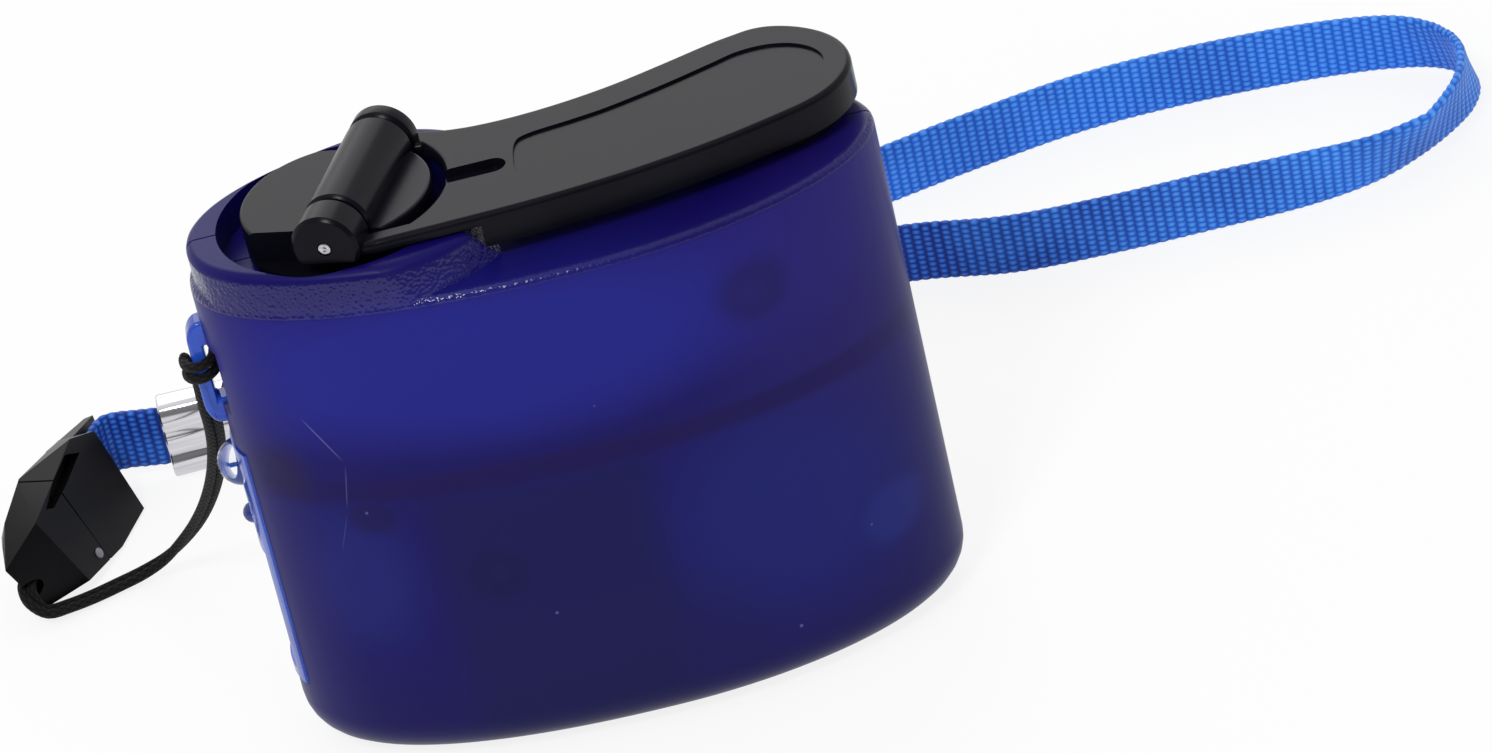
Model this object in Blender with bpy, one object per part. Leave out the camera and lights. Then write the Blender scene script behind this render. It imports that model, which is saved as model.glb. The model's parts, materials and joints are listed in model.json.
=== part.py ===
"""Hand crank generator with a folding crank arm and a wrist lanyard.

Built in metres, +Z up along the crank axis. The origin is the centre of the
flat bottom face. The long axis is X, with the crank hub at the -X end.
"""

import math

import bmesh
import bpy
from mathutils import Matrix, Vector

# Casing
body_length = 0.066
body_half_depth = 0.0154
body_widest_x = 0.0026
left_end_x = -body_length / 2.0
outline_power_left = 2.24
outline_power_right = 1.93
outline_points = 64
bottom_round = 0.0050
bottom_round_steps = 4
wall_top_z = 0.0508
deck_z = 0.0516
deck_bevel = 0.0009
deck_bevel_start_share = 0.35
deck_bevel_rise_share = 0.65
wall_thickness = 0.0018
ledge_width = 0.0006
ledge_rise = 0.0001
shell_split_gap = 0.0003
shell_split_y = 0.0005
overrun = 0.0040
part_gap = 0.0003
slide_gap = 0.00005
thin_gap = 0.0001
smooth_angle = math.radians(32.0)

# Collar and well round the hub
hub_setback = 0.0153
hub_x = left_end_x + hub_setback
hub_reach_share = (body_widest_x - hub_x) / (body_widest_x - left_end_x)
hub_depth_share = (1 - hub_reach_share ** outline_power_left) ** (1 / outline_power_left)
body_half_depth_at_hub = body_half_depth * hub_depth_share
rim_wall = 0.001465
rim_z = 0.0552
rim_round = 0.0004
well_radius = body_half_depth_at_hub - rim_wall
collar_shift = 0.0032
collar_tail = 0.0180
collar_top_width = 0.0013
collar_foot_width = 0.0024
collar_top_radius = well_radius + collar_top_width
collar_foot_radius = well_radius + collar_foot_width
collar_edge_inset = 0.0009
collar_foot_inset = 0.00012
collar_root_depth = 0.0006
taper_points = 58
taper_phase = 0.37
collar_end_top_x = 0.0109
collar_end_foot_x = 0.0138
collar_sides = 64
well_floor_z = 0.0520

# Crank hub and hinge
hub_gap = 0.0026
hub_radius = well_radius - hub_gap
hub_top_z = 0.0567
hub_sides = 48
pin_offset = 0.0022
pin_z = 0.0570
pin_turn = math.radians(-22.0)
barrel_radius = 0.0033
barrel_sides = 28
barrel_near_inset = 0.0029
barrel_far_inset = 0.0013
near_knuckle_reach = 0.0012
far_knuckle_reach = 0.0010
knuckle_side_gap = 0.0003
near_knuckle_gap = 0.0004
barrel_start = barrel_near_inset - hub_radius
barrel_end = hub_radius - barrel_far_inset
near_knuckle_start = -hub_radius - near_knuckle_reach
near_knuckle_end = barrel_start - near_knuckle_gap
far_knuckle_start = barrel_end + knuckle_side_gap
far_knuckle_end = hub_radius + far_knuckle_reach
knuckle_bevel = 0.0004
hinge_pin_radius = 0.00065
hinge_pin_sides = 16
hub_boss_radius = 0.0040
hub_boss_bottom_z = 0.0492

# Crank arm
arm_top_z = 0.0566
arm_bottom_z = 0.0532
arm_edge_round = 0.0006
arm_edge_steps = 2
arm_over_rim_z = 0.0555
arm_skirt_gap = 0.0003
collar_rise_share = (arm_bottom_z - arm_skirt_gap - deck_z) / (rim_z - deck_z)
collar_corner_x = collar_end_foot_x + collar_rise_share * (collar_end_top_x - collar_end_foot_x)
collar_corner_radius = collar_foot_radius + collar_rise_share * (collar_top_radius - collar_foot_radius)
collar_corner_y = math.sqrt(collar_corner_radius ** 2 - (collar_corner_x - collar_shift) ** 2)
arm_skirt_radius = math.hypot(collar_corner_x, collar_corner_y) + arm_skirt_gap
arm_skin = 0.0012
arm_hole_gap = 0.0012
arm_hole_radius = hub_radius + arm_hole_gap
arm_end_gap = 0.0007
arm_length = body_length - hub_setback - arm_end_gap
arm_side_reach = 0.0015
arm_half_width = hub_radius + arm_side_reach
arm_hole_steps = 20
arm_slot_half_width = 0.0013
arm_slot_y = -0.0017
arm_slot_start_x = 0.0095
arm_slot_end_x = 0.0149
arm_slot_sides = 20
panel_depth = 0.00025
miter_limit_share = 0.5
arm_front_shares = (
    (0.060, -1.000), (0.180, -0.991), (0.272, -0.981), (0.364, -0.963), (0.456, -0.925),
    (0.548, -0.869), (0.642, -0.785), (0.734, -0.682), (0.828, -0.542),
)
arm_end_shares = (
    (0.900, -0.411), (0.952, -0.234), (0.988, 0.019), (1.000, 0.290), (0.992, 0.570),
    (0.966, 0.813), (0.924, 1.019), (0.876, 1.150), (0.834, 1.187), (0.790, 1.150),
)
arm_rear_shares = (
    (0.744, 1.093), (0.648, 0.935), (0.554, 0.794), (0.460, 0.701), (0.364, 0.654),
    (0.280, 0.664), (0.220, 0.720), (0.180, 0.794),
)
panel_shares = (
    (0.338, -0.187), (0.340, -0.411), (0.356, -0.579), (0.384, -0.645), (0.458, -0.626),
    (0.532, -0.570), (0.642, -0.467), (0.736, -0.346), (0.830, -0.206), (0.888, -0.093),
    (0.926, 0.028), (0.946, 0.215), (0.948, 0.393), (0.930, 0.579), (0.894, 0.729),
    (0.846, 0.804), (0.794, 0.794), (0.742, 0.701), (0.646, 0.533), (0.534, 0.374),
    (0.458, 0.308), (0.376, 0.252), (0.348, 0.140),
)

# Knob under the arm's end
knob_side_inset = 0.0027
knob_end_inset = 0.0010
knob_y_share = 0.308
knob_radius = arm_half_width - knob_side_inset
knob_x = arm_length - knob_radius - knob_end_inset
knob_y = knob_y_share * arm_half_width
knob_bottom_z = 0.0519
knob_edge_round = 0.0008
knob_sides = 40
knob_side_gap = 0.0004
knob_hollow_radius = knob_radius + knob_side_gap
knob_rivet_radius = 0.0014
knob_rivet_head_radius = 0.0028
knob_rivet_head_depth = 0.0009
knob_rivet_into_arm = 0.0007
rivet_sides = 20

# Gears
gear_module = 0.00055
gear_pressure_angle = math.radians(25.0)
gear_addendum_share = 0.80
gear_dedendum_share = 1.15
gear_backlash_share = 0.14
wheel_teeth = 36
pinion_teeth = 12
gear_flank_points = 3
gear_thickness = 0.0022
pinion_overlap = 0.0003
first_level_z = 0.0434
second_level_z = 0.0406
third_level_z = 0.0376
gear_bore_sides = 20
axle_radius = 0.0010
crank_shaft_radius = 0.0020
crank_shaft_top_z = 0.0545
crank_shaft_bottom_z = 0.0342
shaft_sides = 24

# Gear plates and posts
upper_plate_bottom_z = 0.0465
upper_plate_top_z = 0.0477
upper_plate_reach = 0.0317
upper_plate_end_x = hub_x + upper_plate_reach
lower_plate_bottom_z = 0.0340
lower_plate_top_z = 0.0352
plate_clearance = 0.0004
post_radius = 0.0013
post_near_reach = 0.0079
post_far_reach = 0.0216
post_side_inset = 0.0042
post_near_x = hub_x + post_near_reach
post_far_x = hub_x + post_far_reach
post_y = body_half_depth - post_side_inset
post_sides = 16
rotor_pass_radius = 0.0018

# Bush and retaining ring on the crank shaft
bush_radius = 0.0056
bush_flange_radius = 0.0066
bush_flange_depth = 0.0006
bush_bottom_z = 0.0480
bush_sides = 32
ring_radius = 0.0034
ring_bottom_z = 0.0461
ring_thickness = 0.0003

# Generator
generator_side_gap = 0.0014
generator_radius = body_half_depth - wall_thickness - ledge_width - generator_side_gap
generator_bottom_z = 0.0150
generator_top_z = 0.0336
generator_shell = 0.0008
generator_cap_depth = 0.0012
generator_sides = 40
stator_gap = 0.0003
stator_depth = 0.0034
stator_outer_radius = generator_radius - generator_shell - stator_gap
stator_inner_radius = stator_outer_radius - stator_depth
stator_bottom_z = 0.0170
stator_top_z = 0.0310
rotor_gap = 0.0005
rotor_radius = stator_inner_radius - rotor_gap
rotor_bottom_z = 0.0175
rotor_top_z = 0.0305
rotor_shaft_radius = 0.0009
rotor_shaft_bottom_z = 0.0162
rotor_shaft_top_z = 0.0402

# Circuit board and what is on it
board_setback = 0.0046
board_width = 0.0119
board_left_x = left_end_x + board_setback
board_right_x = board_left_x + board_width
board_bottom_z = 0.0080
board_top_z = 0.0320
board_front_y = 0.0033
board_rear_y = 0.0045
capacitor_radius = 0.0025
capacitor_length = 0.0110
capacitor_setback = 0.0130
capacitor_x = left_end_x + capacitor_setback
capacitor_y = 0.0073
capacitor_z = 0.0120
capacitor_sides = 28
chip_width = 0.0050
chip_height = 0.0040
chip_depth = 0.0015
chip_setback = 0.0108
chip_x = left_end_x + chip_setback
chip_z = 0.0284
inductor_radius = 0.0024
inductor_depth = 0.0024
inductor_setback = 0.0135
inductor_x = left_end_x + inductor_setback
inductor_z = 0.0258

# Port side at the -X end
usb_center_z = 0.0155
usb_outer_height = 0.0131
usb_outer_width = 0.0057
usb_shell = 0.0004
usb_proud = 0.0001
usb_depth = 0.0131
usb_front_x = left_end_x - usb_proud
usb_rear_x = usb_front_x + usb_depth
usb_back_wall = 0.0010
tongue_thickness = 0.0018
tongue_height = 0.0112
tongue_setback = 0.0021
tongue_front_x = usb_front_x + tongue_setback
tongue_offset_y = 0.0009
panel_half_width = 0.0044
panel_bottom_z = 0.0077
panel_top_z = 0.0274
panel_proud = 0.0002
panel_thickness = 0.0013
led_radius = 0.0025
led_flange_radius = 0.0029
led_flange_depth = 0.0010
led_z = 0.0311
led_reach = 0.0021
led_setback = 0.0049
led_tip_x = left_end_x - led_reach
led_back_x = left_end_x + led_setback
led_sides = 28
dome_shares = ((0.90, 0.56), (0.62, 0.22), (0.25, 0.0))
indicator_radius = 0.0011
indicator_z = 0.0252
indicator_reach = 0.0010
indicator_setback = 0.0030
indicator_tip_x = left_end_x - indicator_reach
indicator_back_x = left_end_x + indicator_setback
indicator_sides = 18
indicator_tip_share = 0.55

# Lanyard lug and its pocket
lug_half_width = 0.0012
lug_reach = 0.0017
lug_shoulder_reach = 0.0004
lug_root_setback = 0.0032
lug_outer_x = left_end_x - lug_reach
lug_shoulder_x = left_end_x - lug_shoulder_reach
lug_root_x = left_end_x + lug_root_setback
lug_bottom_z = 0.0362
lug_top_z = 0.0474
lug_corner_drop = 0.0018
lug_bar_depth = 0.0014
lug_window_depth = 0.0021
lug_window_outer_x = lug_outer_x + lug_bar_depth
lug_window_inner_x = lug_window_outer_x + lug_window_depth
lug_window_bottom_z = 0.0388
lug_window_top_z = 0.0448
pocket_half_width = 0.0039
pocket_setback = 0.0021
pocket_inner_x = left_end_x + pocket_setback
pocket_bottom_z = 0.0384
pocket_top_z = 0.0452

# Case screws
screw_upper_setback = 0.0145
screw_upper_z = 0.0445
screw_lower_setback = 0.0090
screw_lower_z = 0.0085
screw_near_setback = 0.0205
screw_near_z = 0.0082
screw_boss_sink = 0.00025
screw_boss_radius = 0.0030
screw_boss_sides = 24
screw_radius = 0.0011
screw_head_radius = 0.0021
screw_head_depth = 0.0012
screw_head_sink = 0.0044
screw_front_end_y = -0.0070
screw_sides = 20
screw_slot_width = 0.0006
screw_slot_depth = 0.0005
screw_slot_length = 0.0030

# Lanyard cord
cord_radius = 0.0008
cord_bevel_resolution = 2
wrap_turns = 2
wrap_steps = 12
wrap_center_x = -0.0340
wrap_half_x = 0.00180
wrap_half_y = 0.00260
wrap_start_z = 0.0438
wrap_end_z = 0.0400
cord_path = (
    (-0.0350, 0.0026, 0.0398), (-0.0350, 0.0040, 0.0380), (-0.0346, 0.0062, 0.0344),
    (-0.0349, 0.0092, 0.0300), (-0.0355, 0.0140, 0.0247), (-0.0365, 0.0192, 0.0190),
    (-0.0382, 0.0240, 0.0134), (-0.0403, 0.0284, 0.0084), (-0.0425, 0.0320, 0.0046),
    (-0.0447, 0.0340, 0.0019), (-0.0472, 0.0344, 0.0010), (-0.0502, 0.0336, 0.0009),
    (-0.0530, 0.0322, 0.0009), (-0.0556, 0.0310, 0.0010), (-0.0576, 0.0305, 0.0016),
    (-0.0588, 0.0309, 0.0028), (-0.0591, 0.0320, 0.0037), (-0.0587, 0.0333, 0.0040),
    (-0.0575, 0.0361, 0.0040),
)

# Webbing and ferrule
webbing_height = 0.0068
webbing_thickness = 0.0010
webbing_floor_z = 0.0002
webbing_lift = 0.0011
ferrule_left_x = -0.0430
ferrule_right_x = -0.0330
ferrule_y = 0.0534
ferrule_half_width = 0.0022
ferrule_bottom_z = 0.0002
ferrule_top_z = 0.0090
ferrule_wall = 0.0005
ferrule_groove_depth = 0.0003
ferrule_groove_half_width = 0.0006
ferrule_groove_shares = (0.36, 0.66)
ferrule_corner = 0.0008
loop_path = (
    (-0.0372, 0.0526), (-0.0340, 0.0526), (-0.0300, 0.0526), (-0.0240, 0.0526), (-0.0140, 0.0534),
    (0.0000, 0.0548), (0.0140, 0.0558), (0.0260, 0.0560), (0.0365, 0.0552), (0.0467, 0.0520),
    (0.0570, 0.0510), (0.0674, 0.0508), (0.0778, 0.0508), (0.0850, 0.0520), (0.0905, 0.0548),
    (0.0950, 0.0586), (0.0980, 0.0624), (0.0993, 0.0660), (0.0988, 0.0694), (0.0966, 0.0722),
    (0.0930, 0.0742), (0.0880, 0.0757), (0.0803, 0.0770), (0.0696, 0.0778), (0.0588, 0.0775),
    (0.0480, 0.0754), (0.0372, 0.0726), (0.0240, 0.0688), (0.0100, 0.0648), (-0.0040, 0.0608),
    (-0.0160, 0.0574), (-0.0240, 0.0550), (-0.0300, 0.0542), (-0.0340, 0.0542), (-0.0372, 0.0542),
)
loop_lift_end_x = -0.0200
tail_path = (
    (-0.0380, 0.0534), (-0.0425, 0.0534), (-0.0450, 0.0539), (-0.0471, 0.0545), (-0.0485, 0.0546),
    (-0.0493, 0.0541), (-0.0498, 0.0533), (-0.0502, 0.0524), (-0.0508, 0.0510),
)

# Buckle
buckle_x = -0.0542
buckle_y = 0.0434
buckle_turn = math.radians(-114.0)
buckle_bottom_z = 0.0002
buckle_top_z = 0.0100
buckle_half_width = 0.0050
buckle_rear_half_width = 0.0044
buckle_rear = -0.0105
buckle_split = 0.0028
buckle_front = 0.0105
buckle_tip_half_width = 0.0026
buckle_tip_drop = 0.0030
buckle_edge = 0.0016
buckle_slot_half_width = 0.0010
buckle_slot_depth = 0.0042
buckle_slot_bottom_z = 0.0010
buckle_slot_top_z = 0.0084
prong_length = 0.0060
prong_half_width = 0.0032
prong_bottom_z = 0.0030
prong_top_z = 0.0072
rib_recess_start = -0.0085
rib_recess_end = -0.0015
rib_recess_half_width = 0.0024
rib_recess_depth = 0.0010
rib_half_width = 0.0007
tip_hole_radius = 0.0011
tip_hole_depth = 0.0030


def clear_scene() -> None:
    """Remove every object of the start-up scene."""
    for found in list(bpy.data.objects):
        bpy.data.objects.remove(found, do_unlink=True)


def make_material(name: str, colour: tuple, roughness: float, metallic: float):
    """Make one plain material."""
    made = bpy.data.materials.new(name)
    made.use_nodes = True
    shader = made.node_tree.nodes["Principled BSDF"]
    shader.inputs["Base Color"].default_value = (*colour, 1.0)
    shader.inputs["Roughness"].default_value = roughness
    shader.inputs["Metallic"].default_value = metallic
    made.diffuse_color = (*colour, 1.0)
    return made


def blue_plastic():
    """Translucent dark blue casing plastic."""
    return make_material("blue_plastic", (0.03, 0.02, 0.30), 0.35, 0.0)


def light_blue_plastic():
    """Paler blue plastic of the lug and port panel."""
    return make_material("light_blue_plastic", (0.10, 0.30, 0.80), 0.30, 0.0)


def black_plastic():
    """Black moulded plastic."""
    return make_material("black_plastic", (0.015, 0.015, 0.018), 0.35, 0.0)


def white_plastic():
    """White gear plastic."""
    return make_material("white_plastic", (0.80, 0.80, 0.76), 0.45, 0.0)


def clear_plastic():
    """Clear lens plastic."""
    return make_material("clear_plastic", (0.85, 0.90, 0.95), 0.10, 0.0)


def bright_steel():
    """Bright plated steel."""
    return make_material("bright_steel", (0.75, 0.75, 0.76), 0.20, 1.0)


def brass():
    """Turned brass."""
    return make_material("brass", (0.70, 0.52, 0.22), 0.30, 1.0)


def copper():
    """Enamelled copper winding."""
    return make_material("copper", (0.60, 0.26, 0.12), 0.35, 1.0)


def dark_magnet():
    """Dark magnet ceramic."""
    return make_material("dark_magnet", (0.06, 0.06, 0.065), 0.50, 0.0)


def green_board():
    """Green circuit board laminate."""
    return make_material("green_board", (0.03, 0.22, 0.09), 0.40, 0.0)


def blue_webbing():
    """Woven blue polyester tape."""
    return make_material("blue_webbing", (0.03, 0.16, 0.62), 0.80, 0.0)


def black_cord():
    """Braided black cord."""
    return make_material("black_cord", (0.02, 0.02, 0.02), 0.80, 0.0)


def link_mesh(name: str, bm, material, smooth: bool = True):
    """Turn a bmesh into a linked object with its normals outwards."""
    bmesh.ops.recalc_face_normals(bm, faces=bm.faces)
    if bm.calc_volume(signed=True) < 0.0:
        bmesh.ops.reverse_faces(bm, faces=bm.faces)
    mesh = bpy.data.meshes.new(name)
    bm.to_mesh(mesh)
    bm.free()
    made = bpy.data.objects.new(name, mesh)
    bpy.context.scene.collection.objects.link(made)
    if material is not None:
        mesh.materials.append(material)
    if smooth:
        mesh.shade_smooth()
        mesh.set_sharp_from_angle(angle=smooth_angle)
    return made


def ring_stack(rings: list):
    """Loft closed rings of equal point count into a capped solid."""
    bm = bmesh.new()
    levels = [[bm.verts.new(point) for point in ring] for ring in rings]
    count = len(levels[0])
    for lower, upper in zip(levels, levels[1:]):
        for here in range(count):
            after = (here + 1) % count
            bm.faces.new((lower[here], lower[after], upper[after], upper[here]))
    bm.faces.new(list(reversed(levels[0])))
    bm.faces.new(levels[-1])
    return bm


def tube_stack(rings: list):
    """Loft closed rings of equal point count into a ring-shaped solid."""
    bm = bmesh.new()
    levels = [[bm.verts.new(point) for point in ring] for ring in rings]
    count = len(levels[0])
    for index, lower in enumerate(levels):
        upper = levels[(index + 1) % len(levels)]
        for here in range(count):
            after = (here + 1) % count
            bm.faces.new((lower[here], lower[after], upper[after], upper[here]))
    return bm


def circle_ring(x: float, y: float, z: float, radius: float, sides: int) -> list:
    """Points of a level circle."""
    step = 2.0 * math.pi / sides
    return [
        (x + radius * math.cos(step * index), y + radius * math.sin(step * index), z)
        for index in range(sides)
    ]


def flat_ring(outline: list, z: float, shift_x: float = 0.0) -> list:
    """Points of a level outline."""
    return [(x + shift_x, y, z) for x, y in outline]


def disc(name: str, x: float, y: float, profile: list, sides: int, material):
    """Solid of stacked level circles from a list of radius and height pairs."""
    rings = [circle_ring(x, y, z, radius, sides) for radius, z in profile]
    return link_mesh(name, ring_stack(rings), material)


def washer(name: str, x: float, y: float, profile: list, sides: int, material):
    """Ring-shaped solid from a closed list of radius and height pairs."""
    rings = [circle_ring(x, y, z, radius, sides) for radius, z in profile]
    return link_mesh(name, tube_stack(rings), material)


def prism(name: str, outline: list, bottom: float, top: float, material, shift_x: float = 0.0):
    """Upright prism over a level outline."""
    rings = [flat_ring(outline, bottom, shift_x), flat_ring(outline, top, shift_x)]
    return link_mesh(name, ring_stack(rings), material)


def block(name: str, low: tuple, high: tuple, material):
    """Box between two corners."""
    outline = [(low[0], low[1]), (high[0], low[1]), (high[0], high[1]), (low[0], high[1])]
    return prism(name, outline, low[2], high[2], material)


def place(made, matrix) -> None:
    """Move an object's mesh by a matrix."""
    made.data.transform(matrix)


def combine(target, tool, operation: str) -> None:
    """Apply one solid to another and hide the tool."""
    step = target.modifiers.new(operation.lower(), "BOOLEAN")
    step.operation = operation
    step.object = tool
    step.solver = "EXACT"
    tool.hide_render = True
    tool.display_type = "WIRE"


def cut(target, tool) -> None:
    """Take one solid away from another."""
    combine(target, tool, "DIFFERENCE")


def join(target, tool) -> None:
    """Add one solid to another."""
    combine(target, tool, "UNION")


def keep_inside(target, tool) -> None:
    """Keep only what lies inside a second solid."""
    combine(target, tool, "INTERSECT")


def set_origin(made, point: tuple) -> None:
    """Put an object's origin at a point without moving its mesh."""
    made.data.transform(Matrix.Translation(-Vector(point)))
    made.location = point


def body_outline(inset: float, count: int = outline_points, phase: float = 0.0) -> list:
    """Plan outline of the casing, moved inwards by an inset."""
    left = body_length / 2.0 + body_widest_x - inset
    right = body_length / 2.0 - body_widest_x - inset
    half = body_half_depth - inset
    points = []
    for index in range(count):
        turn = 2.0 * math.pi * (index + phase) / count
        across, along = math.sin(turn), math.cos(turn)
        power = outline_power_left if along < 0.0 else outline_power_right
        reach = left if along < 0.0 else right
        x = body_widest_x + reach * math.copysign(abs(along) ** (2.0 / power), along)
        y = half * math.copysign(abs(across) ** (2.0 / power), across)
        points.append((x, y))
    return points


def wall_depth(x: float) -> float:
    """Half depth of the casing's outer wall at a place along X."""
    power = outline_power_left if x < body_widest_x else outline_power_right
    end = -body_length / 2.0 if x < body_widest_x else body_length / 2.0
    share = (x - body_widest_x) / (end - body_widest_x)
    return body_half_depth * (1.0 - share ** power) ** (1.0 / power)


def screw_places() -> list:
    """Place along X, height and boss reach of each case screw."""
    right_end_x = body_length / 2.0
    places = (
        (right_end_x - screw_upper_setback, screw_upper_z, screw_boss_radius),
        (right_end_x - screw_lower_setback, screw_lower_z, screw_boss_radius),
        (left_end_x + screw_near_setback, screw_near_z, -screw_boss_radius),
    )
    return [(x, z, wall_depth(x + outwards) - screw_boss_sink) for x, z, outwards in places]


def casing_form(material):
    """Outer solid of the casing without the collar."""
    rings = []
    for step in range(bottom_round_steps + 1):
        turn = 0.5 * math.pi * step / bottom_round_steps
        inset = bottom_round * (1.0 - math.sin(turn))
        rings.append(flat_ring(body_outline(inset), bottom_round * (1.0 - math.cos(turn))))
    rings.append(flat_ring(body_outline(0.0), wall_top_z))
    rise = deck_z - wall_top_z
    bevel_start = deck_bevel_start_share * deck_bevel
    rings.append(flat_ring(body_outline(bevel_start), wall_top_z + deck_bevel_rise_share * rise))
    rings.append(flat_ring(body_outline(deck_bevel), deck_z))
    return link_mesh("casing_form", ring_stack(rings), material)


def collar_ring(radius: float, z: float) -> list:
    """Level outline of the collar: round towards the arm and drawn out the other way."""
    step = 2.0 * math.pi / collar_sides
    points = []
    for index in range(collar_sides):
        along = math.cos(step * index)
        reach = radius if along > 0.0 else collar_tail
        points.append((hub_x + collar_shift + reach * along, radius * math.sin(step * index), z))
    return points


def collar_form(material):
    """Raised collar round the hub, open towards the arm."""
    profile = (
        (collar_foot_radius, wall_top_z - collar_root_depth),
        (collar_foot_radius, deck_z),
        (collar_top_radius, rim_z - rim_round),
        (collar_top_radius - rim_round, rim_z),
    )
    collar = link_mesh("collar_form", ring_stack([collar_ring(radius, z) for radius, z in profile]), material)
    foot = body_outline(collar_foot_inset, taper_points, taper_phase)
    edge = body_outline(collar_edge_inset, taper_points, taper_phase)
    taper_rings = [
        flat_ring(foot, wall_top_z - overrun),
        flat_ring(foot, wall_top_z),
        flat_ring(edge, rim_z),
        flat_ring(edge, rim_z + overrun),
    ]
    taper = link_mesh("collar_taper", ring_stack(taper_rings), None)
    keep_inside(collar, taper)
    lean = (collar_end_foot_x - collar_end_top_x) / (rim_z - deck_z)
    reach = body_length
    low_z = wall_top_z - overrun
    high_z = rim_z + overrun
    low_x = hub_x + collar_end_foot_x + lean * (deck_z - low_z)
    high_x = hub_x + collar_end_top_x - lean * (high_z - rim_z)
    far_x = low_x + reach
    rings = [
        [(low_x, -reach, low_z), (far_x, -reach, low_z), (far_x, reach, low_z), (low_x, reach, low_z)],
        [(high_x, -reach, high_z), (far_x, -reach, high_z), (far_x, reach, high_z), (high_x, reach, high_z)],
    ]
    end = link_mesh("collar_end", ring_stack(rings), None)
    cut(collar, end)
    return collar


def along_y(made, x: float, z: float) -> None:
    """Lay a solid built on the Z axis along Y at a place."""
    place(made, Matrix.Translation((x, 0.0, z)) @ Matrix.Rotation(math.radians(-90.0), 4, "X"))


def along_minus_x(made, z: float) -> None:
    """Lay a solid built on the Z axis along -X at a height."""
    place(made, Matrix.Translation((0.0, 0.0, z)) @ Matrix.Rotation(math.radians(-90.0), 4, "Y"))


def casing_cutters() -> list:
    """Cutters for the hollow, the well and every opening of the casing."""
    inset = wall_thickness + ledge_width
    ledge_z = lower_plate_bottom_z - thin_gap
    rings = [
        flat_ring(body_outline(inset + bottom_round - wall_thickness), wall_thickness),
        flat_ring(body_outline(inset), bottom_round),
        flat_ring(body_outline(inset), ledge_z - ledge_rise),
        flat_ring(body_outline(wall_thickness), ledge_z),
        flat_ring(body_outline(wall_thickness), deck_z - wall_thickness),
    ]
    hollow = link_mesh("casing_hollow", ring_stack(rings), None)
    well_profile = ((well_radius, well_floor_z), (well_radius, rim_z + overrun))
    well = disc("well_cut", hub_x, 0.0, well_profile, collar_sides, None)
    bush_hole = bush_radius + slide_gap
    bush_profile = ((bush_hole, deck_z - wall_thickness - overrun), (bush_hole, rim_z))
    bush_cut = disc("bush_cut", hub_x, 0.0, bush_profile, bush_sides, None)
    panel_cut = block(
        "panel_cut",
        (-body_length, -panel_half_width - part_gap, panel_bottom_z - part_gap),
        (lug_root_x, panel_half_width + part_gap, panel_top_z + part_gap),
        None,
    )
    led_hole = led_radius + part_gap
    led_cut = disc("led_cut", 0.0, 0.0, ((led_hole, -lug_root_x), (led_hole, body_length)), led_sides, None)
    along_minus_x(led_cut, led_z)
    lug_cut = block(
        "lug_cut",
        (-body_length, -lug_half_width - thin_gap, lug_bottom_z - thin_gap),
        (lug_root_x, lug_half_width + thin_gap, lug_top_z + thin_gap),
        None,
    )
    pocket_cut = block(
        "pocket_cut",
        (-body_length, -pocket_half_width, pocket_bottom_z),
        (pocket_inner_x, pocket_half_width, pocket_top_z),
        None,
    )
    return [hollow, well, bush_cut, panel_cut, led_cut, lug_cut, pocket_cut]


def screw_tools(side: float) -> tuple:
    """Boss solids and screw holes of one shell; the rear one also has the head recesses."""
    bosses, holes = [], []
    name = "front" if side < 0.0 else "rear"
    split = shell_split_y + side * shell_split_gap / 2.0
    for index, (x, z, reach) in enumerate(screw_places()):
        ends = sorted((split, side * reach))
        boss_profile = [(screw_boss_radius, end) for end in ends]
        boss = disc(f"{name}_boss_form_{index + 1}", 0.0, 0.0, boss_profile, screw_boss_sides, None)
        along_y(boss, x, z)
        bosses.append(boss)
        head_floor = reach + wall_thickness / 2.0 - screw_head_sink
        hole_radius = screw_radius + slide_gap
        head_hole_radius = screw_head_radius + part_gap
        hole_profile = [(hole_radius, screw_front_end_y - part_gap), (hole_radius, overrun)]
        if side > 0.0:
            hole_profile = [
                (hole_radius, -overrun), (hole_radius, head_floor),
                (head_hole_radius, head_floor), (head_hole_radius, reach + overrun),
            ]
        hole = disc(f"{name}_screw_hole_{index + 1}", 0.0, 0.0, hole_profile, screw_sides, None)
        along_y(hole, x, z)
        holes.append(hole)
    return bosses, holes


def casing_halves(material) -> None:
    """Front and rear shells of the casing, split on the plane Y = 0."""
    cutters = casing_cutters()
    collar = collar_form(None)
    for side, name in ((-1.0, "casing_front"), (1.0, "casing_rear")):
        shell = casing_form(material)
        shell.name = name
        shell.data.name = name
        near = shell_split_y + side * shell_split_gap / 2.0
        far = -side * body_length
        other_half = block(
            name + "_other_half",
            (-body_length, min(near, far), -overrun),
            (body_length, max(near, far), rim_z + overrun),
            None,
        )
        join(shell, collar)
        cut(shell, cutters[0])
        cut(shell, other_half)
        bosses, holes = screw_tools(side)
        for boss in bosses:
            join(shell, boss)
        for hole in holes:
            cut(shell, hole)
        for tool in cutters[1:]:
            cut(shell, tool)


def case_screws(material) -> None:
    """Three slotted screws that close the casing from the rear."""
    for index, (x, z, reach) in enumerate(screw_places()):
        head_floor = reach + wall_thickness / 2.0 - screw_head_sink
        head_start = head_floor + thin_gap
        head_top = head_start + screw_head_depth
        profile = (
            (screw_radius, screw_front_end_y),
            (screw_radius, head_start),
            (screw_head_radius, head_start),
            (screw_head_radius, head_top),
        )
        screw = disc(f"case_screw_{index + 1}", 0.0, 0.0, profile, screw_sides, material)
        slot = block(
            f"screw_slot_form_{index + 1}",
            (-screw_slot_length / 2.0, -screw_slot_width / 2.0, head_top - screw_slot_depth),
            (screw_slot_length / 2.0, screw_slot_width / 2.0, head_top + overrun),
            None,
        )
        along_y(screw, x, z)
        along_y(slot, x, z)
        cut(screw, slot)


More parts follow.
